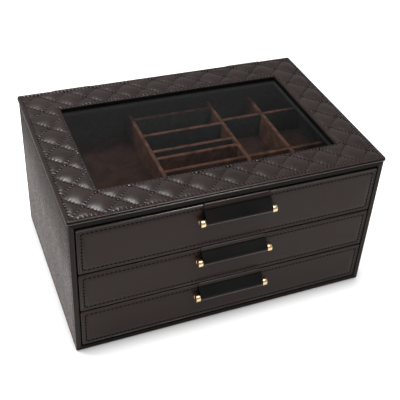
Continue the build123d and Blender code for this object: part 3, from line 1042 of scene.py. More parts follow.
@dataclass
class QuiltedLid:
    """The padded cover of the lid, sewn into diamonds between two straight rows."""

    half_x: float = 150.0 * MM
    half_y: float = 102.0 * MM
    window_x: float = 116.0 * MM
    window_y: float = 67.1 * MM
    layout_x: float = 115.2 * MM
    layout_y: float = 66.3 * MM
    foot: float = 153.42 * MM
    clear: float = 0.1 * MM
    seam_z: float = 153.95 * MM
    outer: Border = Border(row=3.5 * MM, roll=1.7 * MM, drop=1.5 * MM, height=1.05 * MM, dip=0.85 * MM)
    inner: Border = Border(row=1.5 * MM, roll=0.6 * MM, drop=0.55 * MM, height=0.6 * MM, dip=0.5 * MM)
    crown: float = 2.1 * MM
    swell: float = 2.3
    border_swell: float = 7.0 * MM
    border_ease: float = 0.8
    corner: float = 2.0 * MM
    pitch: float = 30.3 * MM
    stitches_per_side: int = 6
    crease_reach: float = 1.4 * MM
    bulge_painted_highlight: float = 0.7
    pucker: float = 0.21 * MM
    pucker_reach: float = 1.3 * MM
    pucker_tail: float = 2.6 * MM
    tail_share: float = 0.45
    luck_seed: int = 7
    luck_range: Flat = (0.55, 1.35)
    luck_count: int = 4096
    luck_stride: int = 7
    luck_line: int = 131
    luck_salts: Tuple[int, int] = (11, 977)
    row_gap: float = 1.6 * MM
    row_pitch: float = 3.7 * MM
    row_bulge: float = 0.62 * MM
    row_reach: float = 1.1 * MM
    row_ease: float = 0.8
    row_lift: float = 0.02 * MM
    thread_sink: float = 0.05 * MM
    rim_width: float = 1.9 * MM
    wall_height: float = 0.9 * MM
    piping_radius: float = 0.75 * MM
    piping_in: float = 0.4 * MM
    piping_z: float = 152.2 * MM
    spacing: float = 0.66 * MM
    edge_lines: Tuple[float, ...] = (
        0, 0.06, 0.2, 0.42, 0.7, 1.0, 1.35, 1.75, 2.2, 2.6, 3.0, 3.3, 3.5, 3.7, 4.0,
    )
    window_lines: Tuple[float, ...] = (2.0, 1.75, 1.5, 1.25, 0.95, 0.6, 0.3, 0.1, 0.0)

    def __post_init__(self) -> None:
        """Works out where the diagonals run, and how unevenly the leather gathers."""
        self.diagonal = self.pitch / math.sqrt(2)
        self.step = self.diagonal / self.stitches_per_side
        self.node_x = -(self.half_x + self.layout_x) / 2
        self.node_y = -(self.half_y + self.layout_y) / 2
        draws = np.random.default_rng(self.luck_seed)
        self.luck = draws.uniform(*self.luck_range, self.luck_count)

    def grid_lines(self, half: float, window: float) -> np.ndarray:
        """Chooses where the mesh lines run across the lid, closer together at its edges.

        Args:
            half: The lid's half size.
            window: The window's half size.

        Returns:
            The lines' places, from the lowest to the highest.
        """
        near_edge = half - np.array(self.edge_lines) * MM
        near_window = window + np.array(self.window_lines) * MM
        count = math.ceil((near_edge[-1] - near_window[0]) / self.spacing)
        field_lines = np.linspace(near_edge[-1], near_window[0], count + 1)[1:-1]
        across = np.linspace(window, -window, 2 * math.ceil(window / self.spacing) + 1)[1:-1]
        side = np.concatenate([near_edge, field_lines, near_window])
        return np.concatenate([-side, across[::-1], side[::-1]])

    def rows(self) -> List[Tuple[float, float]]:
        """Gives the half sizes of the outer and the inner straight row."""
        return [
            (self.half_x - self.outer.row, self.half_y - self.outer.row),
            (self.window_x + self.inner.row, self.window_y + self.inner.row),
        ]

    def row_counts(self, x: np.ndarray, y: np.ndarray) -> List[np.ndarray]:
        """Counts the stitches of the two straight rows up to a point.

        Args:
            x: Places across the lid.
            y: Places from front to back.

        Returns:
            The counts along the outer row and along the inner row, whole between two stitches.
        """
        counts = []
        for half_x, half_y in self.rows():
            across = np.abs(x) - half_x < np.abs(y) - half_y
            half = np.where(across, half_x, half_y)
            stitches = np.rint(2 * half / self.row_pitch)
            counts.append((np.where(across, x, y) + half) * stitches / (2 * half))
        return counts

    def survey(self, x: np.ndarray, y: np.ndarray) -> Survey:
        """Finds where points lie between the seams.

        Args:
            x: Places across the lid.
            y: Places from front to back.

        Returns:
            Their places along and beside the diagonals, and their distances from the borders.
        """
        u = ((x - self.node_x) + (y - self.node_y)) / math.sqrt(2)
        v = ((x - self.node_x) - (y - self.node_y)) / math.sqrt(2)
        line_u, line_v = np.round(u / self.diagonal), np.round(v / self.diagonal)
        off_u, off_v = np.abs(u - self.diagonal * line_u), np.abs(v - self.diagonal * line_v)
        edge = np.minimum(self.half_x - np.abs(x), self.half_y - np.abs(y))
        inner = np.maximum(np.abs(x) - self.window_x, np.abs(y) - self.window_y)
        past = edge - self.outer.row, inner - self.inner.row
        return Survey(u, v, line_u, line_v, off_u, off_v, edge, inner, *past)

    def creases(self, x: np.ndarray, y: np.ndarray) -> np.ndarray:
        """Gives the painted shade and highlight along the seams, from how near a point is to a seam.

        Args:
            x: Places across the lid.
            y: Places from front to back.

        Returns:
            1 on a stitch, painted shade, and below 0 on the bulge between two, painted highlight, falling to
            0 beside the seam.
        """
        at = self.survey(x, y)
        off_out, off_in = np.abs(at.past_out), np.abs(at.past_in)
        off_row, off_diagonal = np.minimum(off_out, off_in), np.minimum(at.off_u, at.off_v)
        in_border = (at.past_out <= 0) | (at.past_in <= 0)
        at_row = in_border | (off_row < off_diagonal)
        along_row = np.where(off_out < off_in, *self.row_counts(x, y))
        along = np.where(at.off_u < at.off_v, at.v, at.u) / self.step
        sewn = 0.5 - 0.5 * np.cos(2 * math.pi * np.where(at_row, along_row, along))
        near = np.exp(-((np.where(at_row, off_row, off_diagonal) / self.crease_reach) ** 2))
        return near * ((1 + self.bulge_painted_highlight) * sewn - self.bulge_painted_highlight)

    def rise(self, distance: np.ndarray, reach: float) -> np.ndarray:
        """Swells from 0 at a seam to 1 at the middle of a pad."""
        return 1 - (1 - np.clip(distance / reach, 0, 1)) ** self.swell

    def gathers(self, off: np.ndarray, along: np.ndarray, line: np.ndarray, salt: int) -> np.ndarray:
        """Gives the small bulges between the needle holes, which fade away from the seam.

        Args:
            off: The distance from the seam.
            along: The place along it.
            line: The seam's number.
            salt: Tells the two families of seams apart.

        Returns:
            The bulges, from -1 to 1 and a little more.
        """
        phase = along / self.step
        place = np.floor(phase).astype(int) * self.luck_stride + line.astype(int) * self.luck_line
        index = (place + salt) % self.luck_count
        near = np.exp(-((off / self.pucker_reach) ** 2)) + self.tail_share * np.exp(-off / self.pucker_tail)
        return np.cos(2 * math.pi * phase) * near * self.luck[index]

    def heights(self, x: np.ndarray, y: np.ndarray) -> np.ndarray:
        """Gives the height of the leather over any point of the lid.

        Args:
            x: Places across the lid.
            y: Places from front to back.

        Returns:
            The heights.
        """
        at = self.survey(x, y)
        puff = self.rise(at.off_u, self.diagonal / 2) * self.rise(at.off_v, self.diagonal / 2)
        salt_u, salt_v = self.luck_salts
        folds = self.gathers(at.off_u, at.v, at.line_u, salt_u)
        folds = folds + self.gathers(at.off_v, at.u, at.line_v, salt_v)
        waves = [0.5 + 0.5 * np.cos(2 * math.pi * count) for count in self.row_counts(x, y)]
        bulges = [self.row_bulge * wave**self.row_ease for wave in waves]
        gathered = 0.0
        for past, bulge in zip((at.past_out, at.past_in), bulges):
            puff = puff * self.rise(np.maximum(past, 0), self.border_swell) ** self.border_ease
            gathered = gathered + bulge * np.exp(-np.abs(past) / self.row_reach)
        pads = self.crown * puff + self.pucker * folds + gathered
        rim = self.outer.profile(at.edge, bulges[0])
        lip = self.inner.profile(at.inner, bulges[1])
        in_field = (at.past_out > 0) & (at.past_in > 0)
        height = np.where(in_field, pads, np.where(at.past_out <= 0, rim, lip))
        return np.maximum(self.seam_z + height, self.foot + self.clear)

    def make_cover(self) -> Mesh:
        """Models the padded cover.

        Returns:
            The closed mesh.
        """
        xs = self.grid_lines(self.half_x, self.window_x)
        ys = self.grid_lines(self.half_y, self.window_y)
        cover, column, row = rough_grid("quilted_leather_cover", len(xs), len(ys))
        x, y = xs[column], ys[row]
        move_points(cover, np.stack([x, y, self.heights(x, y)], 1))
        # Painted shade at the stitches and painted highlight on the bulges between them, stored on the
        # cover's points.
        crease = cover.data.attributes.new("crease", "FLOAT", "POINT")
        crease.data.foreach_set("value", self.creases(x, y))
        hole = self.window_x - NEAR, self.window_y - NEAR
        pick_faces(cover, lambda c, n: (np.abs(c[:, 0]) < hole[0]) & (np.abs(c[:, 1]) < hole[1]))
        bpy.ops.mesh.delete(type="FACE")
        put_down()
        pick_rims(cover)
        bpy.ops.mesh.extrude_region_move(TRANSFORM_OT_translate={"value": (0, 0, -self.clear)})
        put_down()
        self.square_off(cover)
        pick_rims(cover)
        bpy.ops.mesh.bridge_edge_loops()
        bpy.ops.mesh.select_all(action="SELECT")
        close_up()
        return smooth(cover, angle=50.0)

    def square_off(self, cover: Mesh) -> None:
        """Sets the cover's selected lower rims on its foot and rounds its four corners.

        Args:
            cover: The cover, still open below.
        """
        points = points_of(cover)
        low = np.zeros(len(points), bool)
        cover.data.vertices.foreach_get("select", low)
        points[low, 2] = self.foot
        start = np.array([self.half_x, self.half_y]) - self.corner
        reach = np.abs(points[:, :2]) - start
        corner = (reach > 0).all(1)
        reach = reach[corner]
        pull = reach.max(1, keepdims=True) / np.hypot(reach[:, :1], reach[:, 1:])
        points[corner, :2] = np.sign(points[corner, :2]) * (start + reach * pull)
        move_points(cover, points)

    def make_seams(self) -> Mesh:
        """Models the thread of the diamonds and of the two straight rows.

        Returns:
            The piece with all stitches.
        """
        seam = Seam("lid_stitches", Stitch(length=2.1 * MM, width=2.0 * MM))
        turns = math.ceil((self.half_x + self.half_y) / self.diagonal)
        lines = np.arange(-turns, 2 * turns) * self.diagonal
        first, last = -turns * self.stitches_per_side, 2 * turns * self.stitches_per_side
        stops = (np.arange(first, last) + 0.5) * self.step
        across, along = (grid.ravel() for grid in np.meshgrid(lines, stops, indexing="ij"))
        for family in Diagonal:
            u, v = (across, along) if family is Diagonal.FALLING else (along, across)
            x = self.node_x + (u + v) / math.sqrt(2)
            y = self.node_y + (u - v) / math.sqrt(2)
            at = self.survey(x, y)
            kept = (at.past_out >= self.row_gap) & (at.past_in >= self.row_gap)
            places = np.stack([x, y, self.heights(x, y) - self.thread_sink], 1)
            for middle in places[kept]:
                seam.add(middle, family.value, UP)
        z = self.seam_z + self.row_lift
        for x, y in self.rows():
            for sign in (-1, 1):
                seam.add_run((-x, sign * y, z), (x, sign * y, z), UP, self.row_pitch)
                seam.add_run((sign * x, -y, z), (sign * x, y, z), UP, self.row_pitch)
        return seam.make()

    def make_piping(self) -> Mesh:
        """Models the thin piping round the lid's lower edge.

        Returns:
            The closed mesh.
        """
        free_hands()
        bpy.ops.mesh.primitive_plane_add(size=1, location=(0, 0, self.piping_z))
        piping = bpy.context.object
        piping.scale = (2 * (self.half_x - self.piping_in), 2 * (self.half_y - self.piping_in), 1)
        open_up(settle(piping, "lid_piping"))
        bpy.ops.mesh.bevel(offset=self.corner - self.piping_in, segments=5, affect="VERTICES")
        bpy.ops.mesh.delete(type="ONLY_FACE")
        put_down()
        bpy.ops.object.convert(target="CURVE")
        bpy.context.object.data.bevel_depth = self.piping_radius
        bpy.context.object.data.bevel_resolution = 3
        bpy.ops.object.convert(target="MESH")
        piping = settle(bpy.context.object, "lid_piping")
        open_up(piping)
        bpy.ops.mesh.remove_doubles(threshold=WELD)
        close_up()
        return smooth(piping, angle=60.0)

    def build(self, finishes: Wardrobe) -> None:
        """Builds and dresses the cover, its thread and its piping.

        Args:
            finishes: The organizer's finishes.
        """
        cover = hand_over(self.make_cover(), "lid", finishes.quilt, "quilted_leather", "quilted_cover")
        rim = self.half_x - self.rim_width, self.half_y - self.rim_width
        low = self.foot + self.wall_height
        paint(cover, finishes.rolled, lambda c, n: (np.abs(c[:, 0]) > rim[0]) | (np.abs(c[:, 1]) > rim[1]))
        # Painted shade: the cover's outer wall below its rolled rim gets the near-black board finish.
        paint(cover, finishes.board, lambda c, n: (np.hypot(n[:, 0], n[:, 1]) > 0.8) & (c[:, 2] < low))
        hand_over(self.make_seams(), "lid", finishes.thread, "quilted_leather")
        hand_over(self.make_piping(), "lid", finishes.polished, "carcass_leather")


# Drawers


def arc(middle: Flat, radius: float, start: float, sweep: float, steps: int) -> List[Flat]:
    """Gives evenly spaced points on an arc.

    Args:
        middle: The arc's centre.
        radius: Its radius.
        start: The angle of its first point.
        sweep: The angle that it covers.
        steps: The spaces between its points.

    Returns:
        The points, with both ends.
    """
    turns = [start + sweep * i / steps for i in range(steps + 1)]
    return [(middle[0] + radius * math.cos(t), middle[1] + radius * math.sin(t)) for t in turns]


def stretch(start: Flat, end: Flat, steps: int, last: int) -> List[Flat]:
    """Gives evenly spaced points on a straight line, without its first point.

    Args:
        start: The line's first point.
        end: Its last point.
        steps: The spaces between its points.
        last: The number of the last point that is given.

    Returns:
        The points.
    """
    shares = [i / steps for i in range(1, last + 1)]
    return [(start[0] + (end[0] - start[0]) * t, start[1] + (end[1] - start[1]) * t) for t in shares]


class Crest(Enum):
    """How the upper rounding of a drawer's front shines."""

    EASED = "eased"
    POLISHED = "polished"


@dataclass
class DrawerLook:
    """One drawer: its stitched front, its strap pull and its lining."""

    name: str
    crest: Crest = Crest.EASED
    band: float = 1.2 * MM
    pitch: float = 3.8 * MM
    edge: float = 1.4 * MM
    fold: float = 0.6 * MM
    fold_depth: float = 0.5 * MM
    seam_inset: float = 4.25 * MM
    seam_half: float = 0.7 * MM
    seam_depth: float = 0.4 * MM
    groove: Tuple[Flat, ...] = ((0.55, -0.75), (0.45, -0.25), (0.45, 0.25), (0.55, 0.75))
    field_inset: float = 4.0 * MM
    field_rise: float = 0.18 * MM
    thread_sink: float = 0.1 * MM
    strap_width: float = 64.0 * MM
    strap_pitch: float = 2.1 * MM
    strap_thick: float = 1.0 * MM
    strap_play: float = 0.05 * MM
    strap_edge: float = 0.22 * MM
    strap_margin: float = 1.2 * MM
    strap_tuck: float = 0.98
    stitch_slant: Flat = (0.75, 0.5)
    stitch_lift: float = 0.02 * MM
    strap_columns: int = 25
    fold_steps: int = 7
    loop_steps: int = 22
    pocket_play: float = 0.1 * MM
    rod_radius: float = 4.0 * MM
    rod_length: float = 73.0 * MM
    core_radius: float = 2.7 * MM
    core_slope: float = 0.2 * MM
    rod_edge: float = 0.4 * MM
    cap_rim: float = 0.9 * MM
    cap_step: float = 0.15 * MM
    cap_depth: float = 0.2 * MM
    pad_edge: float = 0.45 * MM
    pad_inset: float = 3.0 * MM
    band_seam: float = 0.9 * MM
    crest_drop: float = 0.9 * MM
    belly_lift: float = 0.5 * MM
    band_top: float = 5.0 * MM
    seam_down: float = 5.0 * MM
    leg_length: float = 18.0 * MM
    leg_play: float = 0.2 * MM
    leg_middle: float = 4.0 * MM
    knee: float = 1.0 * MM
    knee_cut: float = 0.25 * MM
    drop_steps: int = 6
    tuck_steps: int = 3

    def make_front(self) -> Mesh:
        """Models the leather covered front with its sewn groove.

        Returns:
            The mesh.
        """
        low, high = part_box(self.name + "_front")
        front = rough_block(self.name + "_stitched_front", low, high)
        bevel_edges(front, self.edge, steps=4)
        pick_faces(front, lambda c, n: (n[:, 1] < -FACING) & (c[:, 1] < low.y + WELD))
        bpy.ops.mesh.inset(thickness=self.fold / 2, depth=-self.fold_depth)
        bpy.ops.mesh.inset(thickness=self.fold, depth=self.fold_depth)
        bpy.ops.mesh.inset(thickness=self.seam_inset - self.edge - self.seam_half - self.fold * 1.5)
        for wide, deep in self.groove:
            bpy.ops.mesh.inset(thickness=self.seam_half * wide, depth=self.seam_depth * deep)
        bpy.ops.mesh.inset(thickness=self.field_inset, depth=self.field_rise)
        put_down()
        pocket = self.strap_width / 2 + 2 * self.pocket_play
        back = high.y - self.strap_thick - self.pocket_play
        floor = high.z - self.leg_length - self.pocket_play
        cut_away(front, (-pocket, back, floor), (pocket, high.y + OVERSHOOT, high.z + OVERSHOOT))
        return smooth(front, angle=50.0)

    def make_seam(self) -> Mesh:
        """Models the thread round the front.

        Returns:
            The piece with all stitches.
        """
        low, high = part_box(self.name + "_front")
        seam = Seam(self.name + "_front_stitches", Stitch(length=2.4 * MM, width=1.8 * MM, sink=0.3 * MM))
        x0, x1 = low.x + self.seam_inset, high.x - self.seam_inset
        z0, z1 = low.z + self.seam_inset, high.z - self.seam_inset
        y = low.y + self.seam_depth - self.thread_sink
        for z in (z0, z1):
            seam.add_run((x0, y, z), (x1, y, z), (0, -1, 0), self.pitch)
        for x in (x0, x1):
            seam.add_run((x, y, z0), (x, y, z1), (0, -1, 0), self.pitch)
        return seam.make()

    def strap_line(self) -> List[Flat]:
        """Works out the middle line of the strap, from the foot of its leg to its seam.

        Returns:
            Points in Y and Z.
        """
        low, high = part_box(self.name + "_front")
        rod_low, rod_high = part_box(self.name + "_pull_rod")
        half = self.strap_thick / 2
        fold = (low.y + self.edge, high.z - self.edge)
        rod = ((rod_low.y + rod_high.y) / 2, (rod_low.z + rod_high.z) / 2)
        bend = self.edge + self.strap_play + half
        loop = self.core_radius + self.strap_play + half
        out, down = fold[0] - rod[0], fold[1] - rod[1]
        slant = math.atan2(out, down) + math.asin((loop - bend) / math.hypot(out, down))
        leg = high.y - half
        top = fold[1] + bend
        foot = high.z - self.leg_length + self.leg_play
        line = [(leg, foot), (leg, high.z - self.leg_middle), (leg, high.z - self.knee)]
        line += [(leg - self.knee_cut, top - self.knee_cut), (leg - self.knee, top)]
        line += arc(fold, bend, math.pi / 2, math.pi / 2 - slant, self.fold_steps)
        outward = math.pi - slant
        start = line[-1]
        leave = (rod[0] + loop * math.cos(outward), rod[1] + loop * math.sin(outward))
        line += stretch(start, leave, self.drop_steps, self.drop_steps - 1)
        seam = (start[0] - self.seam_down * math.sin(slant), start[1] - self.seam_down * math.cos(slant))
        sunk = self.strap_tuck * self.strap_thick
        under = (seam[0] - sunk * math.cos(outward), seam[1] - sunk * math.sin(outward))
        gap = (under[0] - rod[0], under[1] - rod[1])
        end = math.atan2(gap[1], gap[0]) - math.acos(loop / math.hypot(*gap))
        line += arc(rod, loop, outward, (end - outward) % (2 * math.pi), self.loop_steps)
        return line + stretch(line[-1], under, self.tuck_steps, self.tuck_steps)

    def make_strap(self) -> Mesh:
        """Models the strap as one strip of leather, folded over the front and round the rod.

        Returns:
            The mesh.
        """
        line = np.array(self.strap_line())
        strap, _, row = rough_grid(self.name + "_leather_strap", self.strap_columns, len(line))
        half = self.strap_width / 2 - self.strap_play
        move_points(strap, np.stack([points_of(strap)[:, 0] * half, line[row, 0], line[row, 1]], 1))
        finish_with(strap, "SOLIDIFY", thickness=self.strap_thick, offset=0.0)
        open_up(strap)
        close_up()
        bevel_edges(strap, self.strap_edge, steps=2, angle=60.0)
        return smooth(strap, angle=50.0)

    def make_strap_seam(self) -> Mesh:
        """Models the row of slanted stitches that closes the loop.

        Returns:
            The piece with all stitches.
        """
        line = np.array(self.strap_line())
        low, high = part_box(self.name + "_front")
        drop = high.z - self.band - self.band_seam
        below = int(np.argmax((line[:, 1] < drop) & (line[:, 0] < low.y)))
        start, end = line[below - 1], line[below]
        way = np.array([0.0, *(end - start)]) / np.linalg.norm(end - start)
        out = np.array([0.0, way[2], -way[1]])
        share = (start[1] - drop) / (start[1] - end[1])
        lift = self.strap_thick / 2 + self.stitch_lift
        middle = np.array([0.0, *(start + (end - start) * share)]) + out * lift
        half = self.strap_width / 2 - self.strap_margin
        tilt = np.array([self.stitch_slant[0], 0.0, 0.0]) + way * self.stitch_slant[1]
        count = round(2 * half / self.strap_pitch)
        seam = Seam(self.name + "_strap_stitches", Stitch(length=2.4 * MM, width=1.0 * MM))
        for i in range(count):
            x = -half + (i + 0.5) * 2 * half / count
            lean = tilt if i % 2 else tilt * np.array([1.0, -1.0, -1.0])
            seam.add(middle + np.array([x, 0.0, 0.0]), lean, out)
        return seam.make()

    def make_rod(self) -> Mesh:
        """Turns the brass rod, slim under the strap and eased at its ends.

        Returns:
            The mesh.
        """
        low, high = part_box(self.name + "_pull_rod")
        middle = (low + high) / 2
        free_hands()
        bpy.ops.mesh.primitive_cylinder_add(
            vertices=64, radius=self.rod_radius, depth=self.rod_length,
            location=middle, rotation=(0, math.pi / 2, 0),
        )
        rod = settle(bpy.context.object, self.name + "_brass_rod")
        shoulder = self.strap_width / 2 + 2 * self.pocket_play
        core = shoulder - self.core_slope
        slice_across(rod, (-shoulder, -core, core, shoulder))
        slim = self.core_radius / self.rod_radius
        pick_faces(rod, lambda c, n: np.abs(c[:, 0]) < core)
        bpy.ops.transform.resize(value=(1.0, slim, slim), center_override=middle)
        put_down()
        bevel_edges(rod, self.rod_edge, steps=3)
        end = self.rod_length / 2 - NEAR
        for sign in (-1, 1):
            pick_faces(rod, lambda c, n: (n[:, 0] * sign > FLUSH) & (c[:, 0] * sign > end))
            bpy.ops.mesh.inset(thickness=self.cap_rim)
            bpy.ops.mesh.inset(thickness=self.cap_step, depth=-self.cap_depth)
            put_down()
        return smooth(rod, angle=40.0)

    def build(self, finishes: Wardrobe) -> None:
        """Builds and dresses the drawer.

        Args:
            finishes: The organizer's finishes.
        """
        low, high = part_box(self.name + "_front")
        rod_low, rod_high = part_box(self.name + "_pull_rod")
        front = hand_over(self.make_front(), self.name, finishes.front, "front_leather", self.name + "_front")
        skin = low.y + self.edge

        def in_groove(c: np.ndarray, n: np.ndarray) -> np.ndarray:
            """Picks the faces of the sewn groove."""
            x = np.minimum(c[:, 0] - low.x, high.x - c[:, 0])
            z = np.minimum(c[:, 2] - low.z, high.z - c[:, 2])
            at_seam = np.abs(np.minimum(x, z) - self.seam_inset) < self.seam_half
            return at_seam & (c[:, 1] < low.y + self.seam_depth * 1.2) & (n[:, 1] < -0.1)

        def on_crest(c: np.ndarray, n: np.ndarray) -> np.ndarray:
            """Picks the upper rounding."""
            return (c[:, 2] > high.z - self.edge) & (n[:, 2] > 0.1) & (c[:, 1] < skin)

        if self.crest is Crest.POLISHED:
            rounding, ridge = finishes.polished, finishes.rolled
        else:
            rounding, ridge = finishes.eased, finishes.eased
        paint(front, finishes.eased, lambda c, n: (c[:, 1] < skin) & (n[:, 1] > -0.98) & ~in_groove(c, n))
        paint(front, rounding, on_crest)
        hand_over(self.make_seam(), self.name, finishes.thread, "front_leather")

        strap = self.make_strap()
        hand_over(strap, self.name, finishes.strap, "strap_leather", self.name + "_pull_strap")
        band, crest, band_top = high.z - self.band, high.z - self.crest_drop, high.z + self.band_top
        belly = (rod_low.z + rod_high.z) / 2 + self.belly_lift
        paint(strap, finishes.front, lambda c, n: (c[:, 2] > band) & (c[:, 2] < band_top))
        paint(strap, ridge, lambda c, n: (c[:, 2] > crest) & (n[:, 1] < -0.2))
        # Painted highlight: the black strap's underside at the rod gets the lighter brown rolled leather, for
        # the shine along its lower edge.
        paint(strap, finishes.rolled, lambda c, n: (c[:, 2] < belly) & (n[:, 2] < 0.0) & (n[:, 1] < 0.3))
        hand_over(self.make_strap_seam(), self.name, finishes.thread, "strap_leather")
        hand_over(self.make_rod(), self.name, finishes.gold, "polished_brass", self.name + "_pull_rod")
        self.line(finishes)

    def line(self, finishes: Wardrobe) -> None:
        """Dresses the walls, the dividers and the floor pad, with painted shade on the front faces of the bay
        dividers in the back half.

        Args:
            finishes: The organizer's finishes.
        """
        for node in list(FRAME["record"]["behaviour"]["bodies"][self.name]):
            if node.endswith(("_wall", "_base")):
                cover_node(node, "_lined", self.name, finishes.lining, "lined_board")
            elif "divider" in node:
                board = cover_node(node, "_suede", self.name, finishes.divider, "divider_board")
                if "bay" in node:
                    # Painted shade: the front faces of the bay dividers in the back half get the charcoal
                    # lining in place of their brown suede.
                    paint(board, finishes.lining, lambda c, n: (n[:, 1] < -FACING) & (c[:, 1] > 0))
        low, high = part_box(self.name + "_floor_pad")
        pad = rough_block(self.name + "_suede_pad", low, high)
        bevel_edges(pad, self.pad_edge, steps=3)
        pick_faces(pad, lambda c, n: n[:, 2] > FLUSH)
        bpy.ops.mesh.inset(thickness=self.pad_inset, depth=0.0)
        put_down()
        smooth(pad, angle=50.0)
        hand_over(pad, self.name, finishes.pad, "suede_pad", self.name + "_floor_pad")


# Carcass, window and hinges


@dataclass
class CarcassLook:
    """The leather covered carcass with its side seams."""

    half_x: float = 149.0 * MM
    front_y: float = -101.0 * MM
    back_y: float = 101.0 * MM
    bottom_z: float = 0.8 * MM
    top_z: float = 151.1 * MM
    thickness: float = 4.8 * MM
    side_inset: float = 4.45 * MM
    top_inset: float = 8.45 * MM
    seam_depth: float = 0.2 * MM
    pitch: float = 3.8 * MM
    edge_depth: float = 1.2 * MM
    inside_play: float = 0.5 * MM
    end_play: float = 1.0 * MM

    def build(self, finishes: Wardrobe) -> None:
        """Dresses the panels and sews the sides.

        Args:
            finishes: The organizer's finishes.
        """
        edge = self.front_y + self.edge_depth
        for node in ("left_side_panel", "right_side_panel", "back_panel"):
            panel = cover_node(node, "_leather", "carcass", finishes.side, "carcass_leather")
            paint(panel, finishes.edge, lambda c, n: (n[:, 1] < -0.6) & (c[:, 1] < edge))
            paint(panel, finishes.lining, self.faces_inside)
        # Painted shade: the front top rail, which sits in the lid's shadow, gets the near-black board finish;
        # so does the bottom panel.
        for node in ("bottom_panel", "front_top_rail"):
            cover_node(node, "_leather", "carcass", finishes.board, "carcass_leather")
        for node in ("lower_shelf", "upper_shelf"):
            cover_node(node, "_lined", "carcass", finishes.lining, "lined_board")
        cover_node("base_felt", "_sheet", "carcass", finishes.felt, "base_felt")
        hand_over(self.make_seams(), "carcass", finishes.thread, "carcass_leather")

    def faces_inside(self, c: np.ndarray, n: np.ndarray) -> np.ndarray:
        """Picks the faces that look into the carcass."""
        wall = self.thickness + self.inside_play
        inward_x = (n[:, 0] * np.sign(c[:, 0]) < -FACING) & (np.abs(c[:, 0]) > self.half_x - wall)
        inward_y = (n[:, 1] < -FACING) & (c[:, 1] > self.back_y - wall)
        return (inward_x | inward_y) & (np.abs(c[:, 1]) < self.back_y - self.end_play)

    def make_seams(self) -> Mesh:
        """Models the thread on both sides.

        Returns:
            The piece with all stitches.
        """
        seam = Seam("side_stitches", Stitch(length=2.3 * MM, width=1.2 * MM, sink=0.3 * MM))
        y0, y1 = self.front_y + self.side_inset, self.back_y - self.side_inset
        z0, z1 = self.bottom_z + self.side_inset, self.top_z - self.top_inset
        runs = ((y0, z0, y0, z1), (y1, z0, y1, z1), (y0, z1, y1, z1), (y0, z0, y1, z0))
        for sign in (-1, 1):
            x = sign * (self.half_x - self.seam_depth)
            for start_y, start_z, end_y, end_z in runs:
                seam.add_run((x, start_y, start_z), (x, end_y, end_z), (sign, 0, 0), self.pitch)
        return seam.make()


@dataclass
class WindowLook:
    """The lid's frame, liner, pane and bead."""

    pane_edge: float = 0.25 * MM

    def build(self, finishes: Wardrobe) -> None:
        """Dresses the pieces under and round the quilted cover.

        Args:
            finishes: The organizer's finishes.
        """
        # Painted shade: the lid's rails get the near-black board finish, for the shade along the lid's edges.
        for side in ("left", "right", "front", "back"):
            cover_node("lid_rail_" + side, "_leather", "lid", finishes.board, "carcass_leather")
        cover_node("window_liner", "_leather", "lid", finishes.strap, "strap_leather")
        cover_node("glass_bead", "_lined", "lid", finishes.lining, "lined_board")
        pane = rough_block("window_pane", *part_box("window_glass"))
        bevel_edges(pane, self.pane_edge)
        hand_over(pane, "lid", finishes.glass, "window_glass", "window_glass")


@dataclass
class HingeLook:
    """The two brass butt hinges."""

    hinge_x: float = 95.0 * MM
    screw_spacing: float = 24.0 * MM
    slot_width: float = 0.5 * MM
    slot_depth: float = 0.4 * MM
    slot_play: float = 0.1 * MM
    rim: float = 0.12 * MM

    def make_screws(self, node: str) -> Mesh:
        """Gives the screws of one pair of leaves their slots and eased rims.

        Args:
            node: The screws' CAD node.

        Returns:
            The screws as one mesh.
        """
        screws = merged_copy(node, node + "_brass")
        low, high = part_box(node)
        z = (low.z + high.z) / 2
        half = self.slot_width / 2
        reach = (high.z - low.z) / 2 + self.slot_play
        back = high.y + OVERSHOOT
        bevel_edges(screws, self.rim, angle=35.0)
        for side in (-1, 1):
            for end in (-1, 1):
                x = side * self.hinge_x + end * self.screw_spacing / 2
                bottom = high.y - self.slot_depth
                cut_away(screws, (x - reach, bottom, z - half), (x + reach, back, z + half))
        return smooth(screws)

    def build(self, finishes: Wardrobe) -> None:
        """Dresses leaves, pins and screws.

        Args:
            finishes: The organizer's finishes.
        """
        for node, body in (
            ("hinge_body_leaves", "carcass"),
            ("hinge_pins", "carcass"),
            ("hinge_lid_leaves", "lid"),
        ):
            cover_node(node, "_brass", body, finishes.hinge, "hinge_brass")
        for node, body in (("hinge_body_screws", "carcass"), ("hinge_lid_screws", "lid")):
            hand_over(self.make_screws(node), body, finishes.screw, "hinge_brass", node)


# Studio


